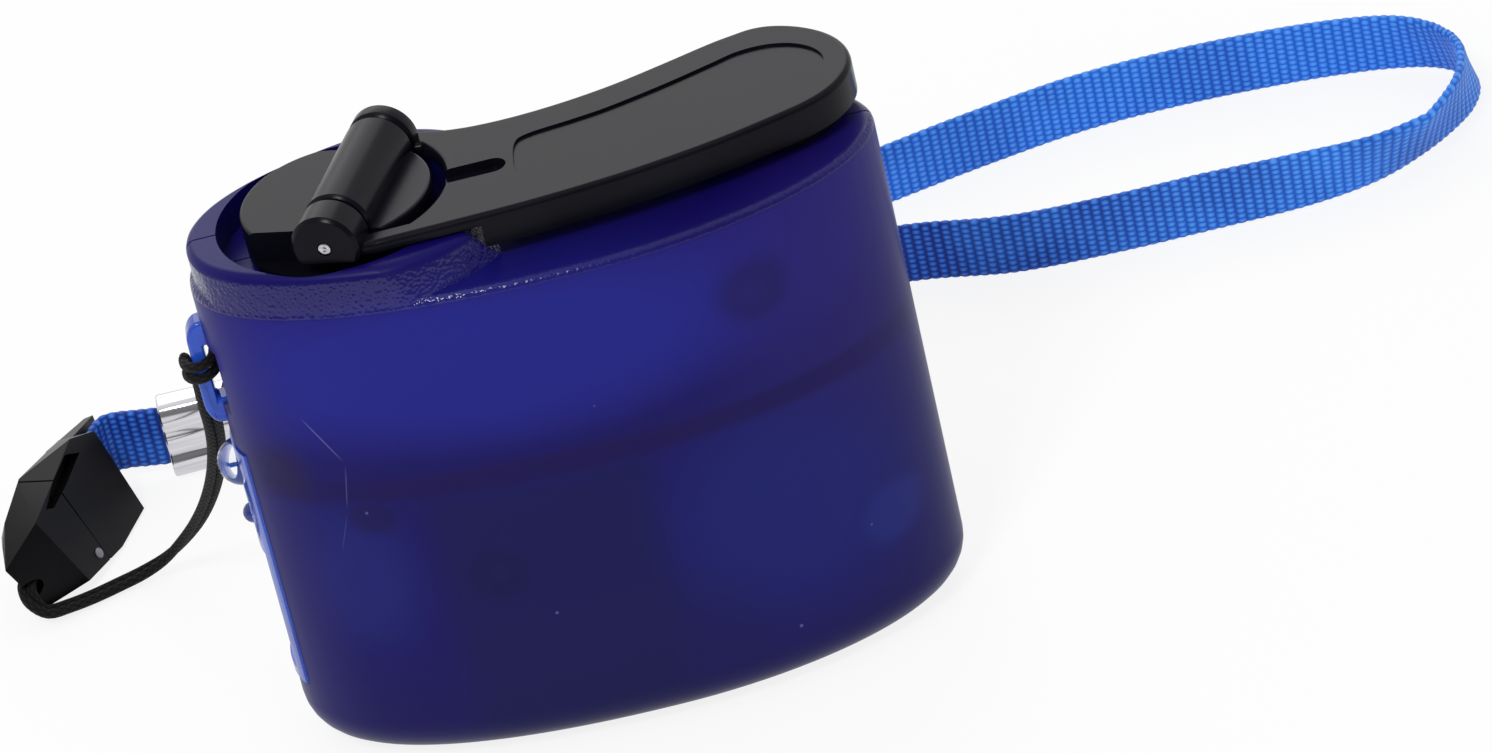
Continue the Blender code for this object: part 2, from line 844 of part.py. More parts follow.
def hinge_matrix() -> Matrix:
    """Frame with its Z axis along the hinge pin and its X axis towards the arm."""
    turn = Matrix.Rotation(pin_turn, 4, "Z")
    lay = Matrix.Rotation(math.radians(-90.0), 4, "X")
    foot = Matrix.Translation((hub_x, 0.0, pin_z)) @ turn @ Matrix.Translation((pin_offset, 0.0, 0.0))
    return foot @ lay


def hinge_frame_matrix() -> Matrix:
    """Level frame at the hinge: X away from the hub, Y along the pin."""
    turn = Matrix.Rotation(pin_turn, 4, "Z")
    return Matrix.Translation((hub_x, 0.0, 0.0)) @ turn @ Matrix.Translation((pin_offset, 0.0, 0.0))


def hinge_cylinder(name: str, radius: float, start: float, end: float, bevel: float, sides: int, material):
    """Cylinder on the hinge axis between two places along it."""
    profile = [(radius, start), (radius, end)]
    if bevel > 0.0:
        profile = [
            (radius - bevel, start), (radius, start + bevel),
            (radius, end - bevel), (radius - bevel, end),
        ]
    made = disc(name, 0.0, 0.0, profile, sides, material)
    place(made, hinge_matrix())
    return made


def hinge_block(name: str, low: tuple, high: tuple, material):
    """Box given in the level frame of the hinge."""
    made = block(name, low, high, material)
    place(made, hinge_frame_matrix())
    return made


def crank_hub(material):
    """Round hub with the hinge barrel, turning on the crank axis."""
    floor_z = well_floor_z + part_gap
    edge = rim_round
    profile = (
        (hub_boss_radius, hub_boss_bottom_z),
        (hub_boss_radius, floor_z),
        (hub_radius, floor_z),
        (hub_radius, hub_top_z - edge),
        (hub_radius - edge, hub_top_z),
    )
    hub = disc("crank_hub", hub_x, 0.0, profile, hub_sides, material)
    swing = barrel_radius + part_gap
    clear_z = pin_z - swing
    front_end = barrel_start - thin_gap
    rear_end = barrel_end + thin_gap
    reach = body_length
    notch_top = rim_z + overrun
    front_notch = hinge_block("hub_front_notch", (-reach, -reach, clear_z), (reach, front_end, notch_top), None)
    rear_notch = hinge_block("hub_rear_notch", (-reach, rear_end, clear_z), (reach, reach, notch_top), None)
    barrel = hinge_cylinder(
        "hub_barrel_form", barrel_radius, barrel_start, barrel_end, 0.0, barrel_sides, None,
    )
    pin_hole = hinge_cylinder(
        "hub_pin_hole", hinge_pin_radius + slide_gap, near_knuckle_start - overrun, far_knuckle_end + overrun,
        0.0, hinge_pin_sides, None,
    )
    bore = crank_shaft_radius + slide_gap
    bore_profile = ((bore, hub_boss_bottom_z - overrun), (bore, crank_shaft_top_z + thin_gap))
    shaft_hole = disc("hub_shaft_hole", hub_x, 0.0, bore_profile, shaft_sides, None)
    cut(hub, front_notch)
    cut(hub, rear_notch)
    join(hub, barrel)
    cut(hub, pin_hole)
    cut(hub, shaft_hole)
    return hub


def arm_outline() -> list:
    """Plan outline of the arm, in hub coordinates, from the near knuckle round to the far one."""
    level = Matrix.Rotation(pin_turn, 4, "Z") @ Matrix.Translation((pin_offset, 0.0, 0.0))
    near_low = level @ Vector((0.0, near_knuckle_start + thin_gap, 0.0))
    near_high = level @ Vector((0.0, near_knuckle_end - thin_gap, 0.0))
    far_low = level @ Vector((0.0, far_knuckle_start + thin_gap, 0.0))
    far_high = level @ Vector((0.0, far_knuckle_end - thin_gap, 0.0))
    near_side = level @ Vector((barrel_radius, near_knuckle_end - thin_gap, 0.0))
    far_side = level @ Vector((barrel_radius, far_knuckle_start + thin_gap, 0.0))
    inner = []
    start = math.atan2(near_side.y, math.sqrt(arm_hole_radius ** 2 - near_side.y ** 2))
    end = math.atan2(far_side.y, math.sqrt(arm_hole_radius ** 2 - far_side.y ** 2))
    for index in range(arm_hole_steps + 1):
        turn = end + (start - end) * index / arm_hole_steps
        inner.append((arm_hole_radius * math.cos(turn), arm_hole_radius * math.sin(turn)))
    points = [(near_low.x, near_low.y)]
    for shares in (arm_front_shares, arm_end_shares, arm_rear_shares):
        points += [(x * arm_length, y * arm_half_width) for x, y in shares]
    points += [(far_high.x, far_high.y), (far_low.x, far_low.y), (far_side.x, far_side.y)]
    points += inner
    points += [(near_side.x, near_side.y), (near_high.x, near_high.y)]
    return points


def shrink(outline: list, distance: float) -> list:
    """Move a counter-clockwise outline inwards by a distance."""
    made = []
    count = len(outline)
    for index in range(count):
        before = Vector(outline[index - 1])
        here = Vector(outline[index])
        after = Vector(outline[(index + 1) % count])
        first = (here - before).normalized()
        second = (after - here).normalized()
        normal = Vector((-first.y - second.y, first.x + second.x)).normalized()
        share = max(miter_limit_share, normal.dot(Vector((-first.y, first.x))))
        moved = here + normal * (distance / share)
        made.append((moved.x, moved.y))
    return made


def crank_arm(material):
    """Forked arm with its knuckles, slot, thumb panel and the hollow for the knob."""
    outline = arm_outline()
    rings = [flat_ring(outline, arm_bottom_z, hub_x)]
    for step in range(arm_edge_steps + 1):
        turn = 0.5 * math.pi * step / arm_edge_steps
        inset = arm_edge_round * (1.0 - math.cos(turn))
        edge_z = arm_top_z - arm_edge_round * (1.0 - math.sin(turn))
        rings.append(flat_ring(shrink(outline, inset), edge_z, hub_x))
    arm = link_mesh("crank_arm", ring_stack(rings), material)
    under = disc(
        "arm_under_cut", hub_x, 0.0,
        ((arm_skirt_radius, arm_bottom_z - overrun), (arm_skirt_radius, arm_over_rim_z)), collar_sides, None,
    )
    cut(arm, under)
    for name, start, end in (
        ("near_knuckle_form", near_knuckle_start, near_knuckle_end),
        ("far_knuckle_form", far_knuckle_start, far_knuckle_end),
    ):
        knuckle = hinge_cylinder(name, barrel_radius, start, end, knuckle_bevel, barrel_sides, None)
        flat = hinge_block(
            name + "_flat",
            (-barrel_radius - overrun, start - overrun, pin_z - barrel_radius - overrun),
            (barrel_radius + overrun, end + overrun, arm_over_rim_z),
            None,
        )
        cut(knuckle, flat)
        join(arm, knuckle)
    hollow = disc(
        "arm_knob_hollow", hub_x + knob_x, knob_y,
        ((knob_hollow_radius, arm_bottom_z - overrun), (knob_hollow_radius, arm_top_z - arm_skin)),
        knob_sides, None,
    )
    cut(arm, hollow)
    slot_outline = []
    half = arm_slot_sides // 2
    for index in range(half + 1):
        turn = math.radians(-90.0) + math.pi * index / half
        slot_outline.append((
            arm_slot_end_x + arm_slot_half_width * math.cos(turn),
            arm_slot_y + arm_slot_half_width * math.sin(turn),
        ))
    slot_outline.append((arm_slot_start_x, arm_slot_y + arm_slot_half_width))
    slot_outline.append((arm_slot_start_x, arm_slot_y - arm_slot_half_width))
    slot = prism("arm_slot_cut", slot_outline, arm_bottom_z - overrun, arm_top_z + overrun, None, hub_x)
    cut(arm, slot)
    panel_outline = [(x * arm_length, y * arm_half_width) for x, y in panel_shares]
    panel = prism("arm_panel_cut", panel_outline, arm_top_z - panel_depth, arm_top_z + overrun, None, hub_x)
    cut(arm, panel)
    pin_hole = hinge_cylinder(
        "arm_pin_hole", hinge_pin_radius + slide_gap, near_knuckle_start - overrun, far_knuckle_end + overrun,
        0.0, hinge_pin_sides, None,
    )
    cut(arm, pin_hole)
    rivet_hole_radius = knob_rivet_radius + slide_gap
    rivet_hole_top = arm_top_z - arm_skin + knob_rivet_into_arm + slide_gap
    rivet_hole = disc(
        "arm_rivet_hole", hub_x + knob_x, knob_y,
        ((rivet_hole_radius, arm_bottom_z - overrun), (rivet_hole_radius, rivet_hole_top)), rivet_sides, None,
    )
    cut(arm, rivet_hole)
    return arm


def hinge_pin(material):
    """Steel pin through the knuckles and the barrel."""
    return hinge_cylinder(
        "hinge_pin", hinge_pin_radius, near_knuckle_start - thin_gap, far_knuckle_end + thin_gap,
        0.0, hinge_pin_sides, material,
    )


def knob_parts(knob_material, rivet_material) -> None:
    """Turning knob under the arm's end and the rivet it turns on."""
    x = hub_x + knob_x
    top_z = arm_top_z - arm_skin - part_gap
    bore = knob_rivet_radius + slide_gap
    sink = knob_rivet_head_radius + part_gap
    sink_z = knob_bottom_z + knob_rivet_head_depth + thin_gap
    profile = (
        (sink, knob_bottom_z), (knob_radius - knob_edge_round, knob_bottom_z),
        (knob_radius, knob_bottom_z + knob_edge_round), (knob_radius, top_z - knob_edge_round / 2.0),
        (knob_radius - knob_edge_round / 2.0, top_z), (bore, top_z), (bore, sink_z), (sink, sink_z),
    )
    washer("crank_knob", x, knob_y, profile, knob_sides, knob_material)
    head_bottom = knob_bottom_z
    head_top = head_bottom + knob_rivet_head_depth
    rivet_top = arm_top_z - arm_skin + knob_rivet_into_arm
    rivet_profile = (
        (knob_rivet_head_radius, head_bottom), (knob_rivet_head_radius, head_top),
        (knob_rivet_radius, head_top), (knob_rivet_radius, rivet_top),
    )
    disc("knob_rivet", x, knob_y, rivet_profile, rivet_sides, rivet_material)


def tooth_outline(teeth: int, turn: float) -> list:
    """Plan outline of a spur gear with involute flanks."""
    pitch_radius = gear_module * teeth / 2.0
    base_radius = pitch_radius * math.cos(gear_pressure_angle)
    tip_radius = pitch_radius + gear_addendum_share * gear_module
    root_radius = pitch_radius - gear_dedendum_share * gear_module

    def spread(radius: float) -> float:
        """Involute angle at a radius."""
        angle = math.acos(min(1.0, base_radius / radius))
        return math.tan(angle) - angle

    half_tooth = (0.5 * math.pi / teeth) * (1.0 - gear_backlash_share)
    start_radius = max(base_radius, root_radius)
    flank = []
    for index in range(gear_flank_points):
        radius = start_radius + (tip_radius - start_radius) * index / (gear_flank_points - 1)
        flank.append((radius, half_tooth + spread(pitch_radius) - spread(radius)))
    if start_radius > root_radius:
        flank.insert(0, (root_radius, flank[0][1]))
    points = []
    for tooth in range(teeth):
        middle = turn + 2.0 * math.pi * tooth / teeth
        for radius, half in flank:
            points.append((radius * math.cos(middle - half), radius * math.sin(middle - half)))
        for radius, half in reversed(flank):
            points.append((radius * math.cos(middle + half), radius * math.sin(middle + half)))
    return points


def gear_solid(name: str, x: float, teeth: int, turn: float, bottom: float, top: float, material):
    """Spur gear on an upright axis at a place along X."""
    return prism(name, tooth_outline(teeth, turn), bottom, top, material, x)


def gear_distance() -> float:
    """Distance between the axes of a wheel and a pinion in mesh."""
    return gear_module * (wheel_teeth + pinion_teeth) / 2.0


def bore_cut(name: str, x: float, radius: float, bottom: float, top: float):
    """Cutter for an upright bore."""
    return disc(name, x, 0.0, ((radius, bottom - overrun), (radius, top + overrun)), gear_bore_sides, None)


def gear_train(wheel_material, pinion_material, steel) -> None:
    """Crank gear, two compound gears and the rotor's pinion, in mesh at rest."""
    half_pitch_pinion = math.pi / pinion_teeth
    first_x = hub_x + gear_distance()
    second_x = first_x + gear_distance()
    first_top = first_level_z + gear_thickness
    second_top = second_level_z + gear_thickness
    third_top = third_level_z + gear_thickness
    crank_gear = gear_solid("crank_gear", hub_x, wheel_teeth, 0.0, first_level_z, first_top, wheel_material)
    crank_bore = crank_shaft_radius + slide_gap
    cut(crank_gear, bore_cut("crank_gear_bore", hub_x, crank_bore, first_level_z, first_top))
    compounds = (
        ("compound_gear_1", first_x, second_level_z, second_top, first_top + pinion_overlap),
        ("compound_gear_2", second_x, third_level_z, third_top, second_top + pinion_overlap),
    )
    for name, x, wheel_bottom, wheel_top, pinion_top in compounds:
        wheel = gear_solid(name, x, wheel_teeth, 0.0, wheel_bottom, wheel_top, wheel_material)
        middle = (wheel_bottom + wheel_top) / 2.0
        pinion = gear_solid(name + "_pinion", x, pinion_teeth, half_pitch_pinion, middle, pinion_top, None)
        join(wheel, pinion)
        cut(wheel, bore_cut(name + "_bore", x, axle_radius + slide_gap, wheel_bottom, pinion_top))
    pinion_turn = math.pi if pinion_teeth % 2 else math.pi + half_pitch_pinion
    rotor_pinion = gear_solid(
        "rotor_pinion", first_x, pinion_teeth, pinion_turn,
        third_level_z - pinion_overlap, third_top, pinion_material,
    )
    rotor_bore = rotor_shaft_radius + slide_gap
    cut(rotor_pinion, bore_cut("rotor_pinion_bore", first_x, rotor_bore, third_level_z, third_top))
    axle_one = ((axle_radius, second_level_z), (axle_radius, upper_plate_top_z))
    disc("gear_axle_1", first_x, 0.0, axle_one, gear_bore_sides, steel)
    axle_two = ((axle_radius, lower_plate_bottom_z), (axle_radius, upper_plate_top_z))
    disc("gear_axle_2", second_x, 0.0, axle_two, gear_bore_sides, steel)


def gear_plates(material, steel) -> None:
    """Two plates that hold the gear axles, and the posts between them."""
    first_x = hub_x + gear_distance()
    second_x = first_x + gear_distance()
    inset = wall_thickness + plate_clearance
    upper = prism("upper_gear_plate", body_outline(inset), upper_plate_bottom_z, upper_plate_top_z, material)
    end = block(
        "upper_plate_end",
        (upper_plate_end_x, -body_length, upper_plate_bottom_z - overrun),
        (body_length, body_length, upper_plate_top_z + overrun),
        None,
    )
    cut(upper, end)
    lug_room = block(
        "upper_plate_lug_room",
        (-body_length, -pocket_half_width, upper_plate_bottom_z - overrun),
        (lug_root_x + part_gap, pocket_half_width, upper_plate_top_z + overrun),
        None,
    )
    cut(upper, lug_room)
    lower = prism("lower_gear_plate", body_outline(inset), lower_plate_bottom_z, lower_plate_top_z, material)
    shaft_hole = crank_shaft_radius + slide_gap
    for plate, bottom, top in (
        (upper, upper_plate_bottom_z, upper_plate_top_z),
        (lower, lower_plate_bottom_z, lower_plate_top_z),
    ):
        cut(plate, bore_cut(plate.name + "_shaft_hole", hub_x, shaft_hole, bottom, top))
        cut(plate, bore_cut(plate.name + "_axle_hole", second_x, axle_radius + slide_gap, bottom, top))
    upper_levels = (upper_plate_bottom_z, upper_plate_top_z)
    lower_levels = (lower_plate_bottom_z, lower_plate_top_z)
    cut(upper, bore_cut("upper_plate_first_hole", first_x, axle_radius + slide_gap, *upper_levels))
    cut(lower, bore_cut("lower_plate_rotor_hole", first_x, rotor_pass_radius, *lower_levels))
    places = ((post_near_x, -post_y), (post_near_x, post_y), (post_far_x, -post_y), (post_far_x, post_y))
    for index, (x, y) in enumerate(places):
        profile = (
            (post_radius, lower_plate_top_z + thin_gap), (post_radius, upper_plate_bottom_z - thin_gap),
        )
        disc(f"spacer_post_{index + 1}", x, y, profile, post_sides, steel)


def shaft_parts(steel, bearing) -> None:
    """Crank shaft, its bush in the casing and its retaining ring."""
    profile = ((crank_shaft_radius, crank_shaft_bottom_z), (crank_shaft_radius, crank_shaft_top_z))
    disc("crank_shaft", hub_x, 0.0, profile, shaft_sides, steel)
    bore = hub_boss_radius + slide_gap
    top_z = well_floor_z
    flange_top = deck_z - wall_thickness - thin_gap
    flange_bottom = flange_top - bush_flange_depth
    bush_profile = (
        (bore, bush_bottom_z), (bush_flange_radius, bush_bottom_z), (bush_flange_radius, flange_top),
        (bush_radius, flange_top), (bush_radius, top_z), (bore, top_z),
    )
    washer("shaft_bush", hub_x, 0.0, bush_profile, bush_sides, bearing)
    ring_bore = crank_shaft_radius + slide_gap
    ring_top = ring_bottom_z + ring_thickness
    ring_profile = (
        (ring_bore, ring_bottom_z), (ring_radius, ring_bottom_z),
        (ring_radius, ring_top), (ring_bore, ring_top),
    )
    washer("retaining_ring", hub_x, 0.0, ring_profile, shaft_sides, steel)


def generator(steel, winding, magnet) -> None:
    """Generator can with its cap, winding and turning magnet."""
    x = hub_x + gear_distance()
    cap_bottom = generator_top_z - generator_cap_depth
    can_rim = cap_bottom - thin_gap
    can_profile = ((generator_radius, generator_bottom_z), (generator_radius, can_rim))
    can = disc("generator_can", x, 0.0, can_profile, generator_sides, steel)
    inner = generator_radius - generator_shell
    hollow_profile = ((inner, generator_bottom_z + generator_shell), (inner, can_rim + overrun))
    hollow = disc("generator_hollow", x, 0.0, hollow_profile, generator_sides, None)
    cut(can, hollow)
    cap_bore = rotor_shaft_radius + slide_gap
    cap_profile = (
        (cap_bore, cap_bottom), (generator_radius, cap_bottom),
        (generator_radius, generator_top_z), (cap_bore, generator_top_z),
    )
    washer("generator_cap", x, 0.0, cap_profile, generator_sides, steel)
    stator_profile = (
        (stator_inner_radius, stator_bottom_z), (stator_outer_radius, stator_bottom_z),
        (stator_outer_radius, stator_top_z), (stator_inner_radius, stator_top_z),
    )
    washer("generator_winding", x, 0.0, stator_profile, generator_sides, winding)
    rotor_profile = (
        (rotor_shaft_radius, rotor_shaft_bottom_z), (rotor_shaft_radius, rotor_bottom_z),
        (rotor_radius, rotor_bottom_z), (rotor_radius, rotor_top_z),
        (rotor_shaft_radius, rotor_top_z), (rotor_shaft_radius, rotor_shaft_top_z),
    )
    disc("generator_rotor", x, 0.0, rotor_profile, generator_sides, magnet)


def circuit_parts(board_material, chip_material, can_material) -> None:
    """Circuit board with a capacitor, a regulator chip and a coil."""
    block(
        "circuit_board",
        (board_left_x, board_front_y, board_bottom_z),
        (board_right_x, board_rear_y, board_top_z),
        board_material,
    )
    profile = ((capacitor_radius, 0.0), (capacitor_radius, capacitor_length))
    disc_made = disc("storage_capacitor", capacitor_x, capacitor_y, profile, capacitor_sides, can_material)
    place(disc_made, Matrix.Translation((0.0, 0.0, capacitor_z)))
    chip_front = board_rear_y + thin_gap
    block(
        "regulator_chip",
        (chip_x - chip_width / 2.0, chip_front, chip_z - chip_height / 2.0),
        (chip_x + chip_width / 2.0, chip_front + chip_depth, chip_z + chip_height / 2.0),
        chip_material,
    )
    coil_end = board_front_y - thin_gap
    coil_profile = ((inductor_radius, coil_end - inductor_depth), (inductor_radius, coil_end))
    coil = disc("power_coil", 0.0, 0.0, coil_profile, capacitor_sides, chip_material)
    along_y(coil, inductor_x, inductor_z)


def port_side(panel_material, steel, tongue_material, lens_material) -> None:
    """Port panel, socket, tongue and the two lamps at the -X end."""
    low_z = usb_center_z - usb_outer_height / 2.0
    high_z = usb_center_z + usb_outer_height / 2.0
    half = usb_outer_width / 2.0
    panel = prism("port_panel", body_outline(-panel_proud), panel_bottom_z, panel_top_z, panel_material)
    inner = prism(
        "panel_inner_cut", body_outline(panel_thickness - panel_proud),
        panel_bottom_z - overrun, panel_top_z + overrun, None,
    )
    cut(panel, inner)
    keep = block(
        "panel_keep",
        (-body_length, -panel_half_width, panel_bottom_z - overrun),
        (lug_root_x, panel_half_width, panel_top_z + overrun),
        None,
    )
    keep_inside(panel, keep)
    opening = block(
        "panel_socket_cut",
        (-body_length, -half - thin_gap, low_z - thin_gap),
        (0.0, half + thin_gap, high_z + thin_gap),
        None,
    )
    cut(panel, opening)
    lamp_hole_radius = indicator_radius + thin_gap
    lamp_hole = disc(
        "panel_lamp_cut", 0.0, 0.0,
        ((lamp_hole_radius, -lug_root_x - overrun), (lamp_hole_radius, body_length)),
        indicator_sides, None,
    )
    along_minus_x(lamp_hole, indicator_z)
    cut(panel, lamp_hole)
    socket = block("usb_socket", (usb_front_x, -half, low_z), (usb_rear_x, half, high_z), steel)
    socket_hollow = block(
        "usb_hollow",
        (usb_front_x - overrun, -half + usb_shell, low_z + usb_shell),
        (usb_rear_x - usb_back_wall, half - usb_shell, high_z - usb_shell),
        None,
    )
    cut(socket, socket_hollow)
    tongue_rear = usb_rear_x - usb_back_wall - thin_gap
    block(
        "usb_tongue",
        (tongue_front_x, tongue_offset_y - tongue_thickness / 2.0, usb_center_z - tongue_height / 2.0),
        (tongue_rear, tongue_offset_y + tongue_thickness / 2.0, usb_center_z + tongue_height / 2.0),
        tongue_material,
    )
    led_profile = (
        (led_flange_radius, -led_back_x), (led_flange_radius, -led_back_x + led_flange_depth),
        (led_radius, -led_back_x + led_flange_depth), (led_radius, -led_tip_x - led_radius),
    )
    led_profile += tuple((wide * led_radius, -led_tip_x - deep * led_radius) for wide, deep in dome_shares)
    led = disc("flashlight_led", 0.0, 0.0, led_profile, led_sides, lens_material)
    along_minus_x(led, led_z)
    lamp_profile = (
        (indicator_radius, -indicator_back_x), (indicator_radius, -indicator_tip_x - indicator_radius / 2.0),
        (indicator_tip_share * indicator_radius, -indicator_tip_x),
    )
    lamp = disc("indicator_led", 0.0, 0.0, lamp_profile, indicator_sides, lens_material)
    along_minus_x(lamp, indicator_z)


def lanyard_lug(material) -> None:
    """Loop at the -X end that the cord is tied round."""
    root_x = lug_root_x - thin_gap
    side_outline = (
        (root_x, lug_bottom_z), (lug_shoulder_x, lug_bottom_z), (lug_outer_x, lug_bottom_z + lug_corner_drop),
        (lug_outer_x, lug_top_z - lug_corner_drop), (lug_shoulder_x, lug_top_z), (root_x, lug_top_z),
    )
    rings = [[(x, y, z) for x, z in side_outline] for y in (-lug_half_width, lug_half_width)]
    lug = link_mesh("lanyard_lug", ring_stack(rings), material)
    window = block(
        "lug_window",
        (lug_window_outer_x, -lug_half_width - overrun, lug_window_bottom_z),
        (lug_window_inner_x, lug_half_width + overrun, lug_window_top_z),
        None,
    )
    cut(lug, window)


def cord_points() -> list:
    """Centre line of the cord: wrapped round the lug, then down to the buckle."""
    points = []
    total = wrap_turns * wrap_steps
    for index in range(total + 4):
        turn = -2.0 * math.pi * index / wrap_steps
        share = index / (total + 3)
        points.append((
            wrap_center_x + wrap_half_x * math.cos(turn),
            wrap_half_y * math.sin(turn),
            wrap_start_z + (wrap_end_z - wrap_start_z) * share,
        ))
    return points[: total - 2] + list(cord_path)


def lanyard_cord(material) -> None:
    """Thin braided cord as a swept tube."""
    curve = bpy.data.curves.new("lanyard_cord", "CURVE")
    curve.dimensions = "3D"
    curve.bevel_depth = cord_radius
    curve.bevel_resolution = cord_bevel_resolution
    curve.use_fill_caps = True
    points = cord_points()
    spline = curve.splines.new("POLY")
    spline.points.add(len(points) - 1)
    for target, point in zip(spline.points, points):
        target.co = (*point, 1.0)
    curve.materials.append(material)
    made = bpy.data.objects.new("lanyard_cord", curve)
    bpy.context.scene.collection.objects.link(made)


def ribbon(name: str, path: tuple, lifts: list, material) -> None:
    """Tape standing on its edge along a level path."""
    rings = []
    count = len(path)
    for index, (x, y) in enumerate(path):
        before = Vector(path[max(0, index - 1)])
        after = Vector(path[min(count - 1, index + 1)])
        along = (after - before).normalized()
        side = Vector((-along.y, along.x)) * (webbing_thickness / 2.0)
        low = webbing_floor_z + lifts[index]
        high = low + webbing_height
        rings.append([
            (x - side.x, y - side.y, low), (x + side.x, y + side.y, low),
            (x + side.x, y + side.y, high), (x - side.x, y - side.y, high),
        ])
    link_mesh(name, ring_stack(rings), material)


def webbing(material) -> None:
    """Wrist loop and the short tail that joins it to the buckle."""
    lifts = []
    for x, _ in loop_path:
        share = min(1.0, max(0.0, (loop_lift_end_x - x) / (loop_lift_end_x - loop_path[2][0])))
        lifts.append(webbing_lift * share)
    ribbon("webbing_loop", loop_path, lifts, material)
    ribbon("webbing_tail", tail_path, [webbing_lift] * len(tail_path), material)


def ferrule(material) -> None:
    """Bright crimp that holds the tape ends together."""
    def section(x: float, half: float, low: float, high: float, corner: float) -> list:
        """One upright rounded section."""
        return [
            (x, ferrule_y - half, low + corner), (x, ferrule_y - half + corner, low),
            (x, ferrule_y + half - corner, low), (x, ferrule_y + half, low + corner),
            (x, ferrule_y + half, high - corner), (x, ferrule_y + half - corner, high),
            (x, ferrule_y - half + corner, high), (x, ferrule_y - half, high - corner),
        ]

    outer = [
        section(x, ferrule_half_width, ferrule_bottom_z, ferrule_top_z, ferrule_corner)
        for x in (ferrule_left_x, ferrule_right_x)
    ]
    inner = [
        section(
            x, ferrule_half_width - ferrule_wall, ferrule_bottom_z + ferrule_wall,
            ferrule_top_z - ferrule_wall, ferrule_corner - ferrule_wall / 2.0,
        )
        for x in (ferrule_right_x, ferrule_left_x)
    ]
    made = link_mesh("ferrule", tube_stack(outer + inner), material)
    height = ferrule_top_z - ferrule_bottom_z
    near_y = ferrule_y - ferrule_half_width
    for index, share in enumerate(ferrule_groove_shares):
        middle = ferrule_bottom_z + share * height
        groove = block(
            f"ferrule_groove_{index + 1}",
            (ferrule_left_x - overrun, near_y - overrun, middle - ferrule_groove_half_width),
            (ferrule_right_x + overrun, near_y + ferrule_groove_depth, middle + ferrule_groove_half_width),
            None,
        )
        cut(made, groove)


def buckle_matrix() -> Matrix:
    """Frame of the buckle: X along it towards the tip."""
    return Matrix.Translation((buckle_x, buckle_y, 0.0)) @ Matrix.Rotation(buckle_turn, 4, "Z")


def buckle_section(along: float, half: float, low: float, high: float, edge: float) -> list:
    """One chamfered section across the buckle."""
    return [
        (along, -half, low + edge), (along, -half + edge, low),
        (along, half - edge, low), (along, half, low + edge),
        (along, half, high - edge), (along, half - edge, high),
        (along, -half + edge, high), (along, -half, high - edge),
    ]


def buckle(material) -> None:
    """Two-piece lanyard buckle with its prong inside the body."""
    low, high = buckle_bottom_z, buckle_top_z
    middle = (buckle_rear + buckle_split) / 2.0
    body_rings = [
        buckle_section(buckle_rear, buckle_rear_half_width, low, high, buckle_edge),
        buckle_section(middle, buckle_half_width, low, high, buckle_edge),
        buckle_section(buckle_split - part_gap, buckle_half_width, low, high, buckle_edge),
    ]
    body = link_mesh("buckle_body", ring_stack(body_rings), material)
    slot = block(
        "buckle_slot",
        (buckle_rear - overrun, -buckle_slot_half_width, buckle_slot_bottom_z),
        (buckle_rear + buckle_slot_depth, buckle_slot_half_width, buckle_slot_top_z),
        None,
    )
    cut(body, slot)
    prong_room = block(
        "prong_room",
        (buckle_split - prong_length - part_gap, -prong_half_width - part_gap, prong_bottom_z - part_gap),
        (buckle_split + overrun, prong_half_width + part_gap, prong_top_z + part_gap),
        None,
    )
    cut(body, prong_room)
    recess = block(
        "rib_recess",
        (rib_recess_start, -rib_recess_half_width, high - rib_recess_depth),
        (rib_recess_end, rib_recess_half_width, high + overrun),
        None,
    )
    rib = block(
        "rib_keep",
        (rib_recess_start - overrun, -rib_half_width, high - rib_recess_depth - overrun),
        (rib_recess_end + overrun, rib_half_width, high + overrun + overrun),
        None,
    )
    cut(recess, rib)
    cut(body, recess)
    tip_start = (buckle_split + buckle_front) / 2.0
    tip_rings = [
        buckle_section(buckle_split, buckle_half_width, low, high, buckle_edge),
        buckle_section(tip_start, buckle_half_width, low, high, buckle_edge),
        buckle_section(buckle_front, buckle_tip_half_width, low, high - buckle_tip_drop, buckle_edge),
    ]
    insert = link_mesh("buckle_insert", ring_stack(tip_rings), material)
    prong = block(
        "prong_form",
        (buckle_split - prong_length, -prong_half_width, prong_bottom_z),
        (tip_start, prong_half_width, prong_top_z),
        None,
    )
    join(insert, prong)
    hole_radius = tip_hole_radius + slide_gap
    entry = Vector(cord_path[-1])
    before = Vector(cord_path[-2])
    along = (entry - before).normalized()
    hole_profile = ((hole_radius, -tip_hole_depth), (hole_radius, part_gap))
    hole = disc("tip_hole", 0.0, 0.0, hole_profile, screw_sides, None)
    aim = along.to_track_quat("Z", "Y").to_matrix().to_4x4()
    matrix = buckle_matrix()
    for made in (body, slot, prong_room, recess, rib, insert, prong):
        place(made, matrix)
    place(hole, Matrix.Translation(entry) @ aim)
    cut(insert, hole)


def place_origins() -> None:
    """Put each moving piece's origin on the axis it turns about."""
    first_x = hub_x + gear_distance()
    second_x = first_x + gear_distance()
    hinge_point = tuple(hinge_matrix().translation)
    turning = (
        ((hub_x, 0.0, well_floor_z), ("crank_hub", "crank_shaft", "crank_gear", "retaining_ring")),
        (hinge_point, ("crank_arm", "hinge_pin", "knob_rivet")),
        ((hub_x + knob_x, knob_y, knob_bottom_z), ("crank_knob",)),
        ((first_x, 0.0, second_level_z), ("compound_gear_1",)),
        ((second_x, 0.0, third_level_z), ("compound_gear_2",)),
        ((first_x, 0.0, rotor_bottom_z), ("generator_rotor", "rotor_pinion")),
    )
    for point, names in turning:
        for name in names:
            set_origin(bpy.data.objects[name], point)


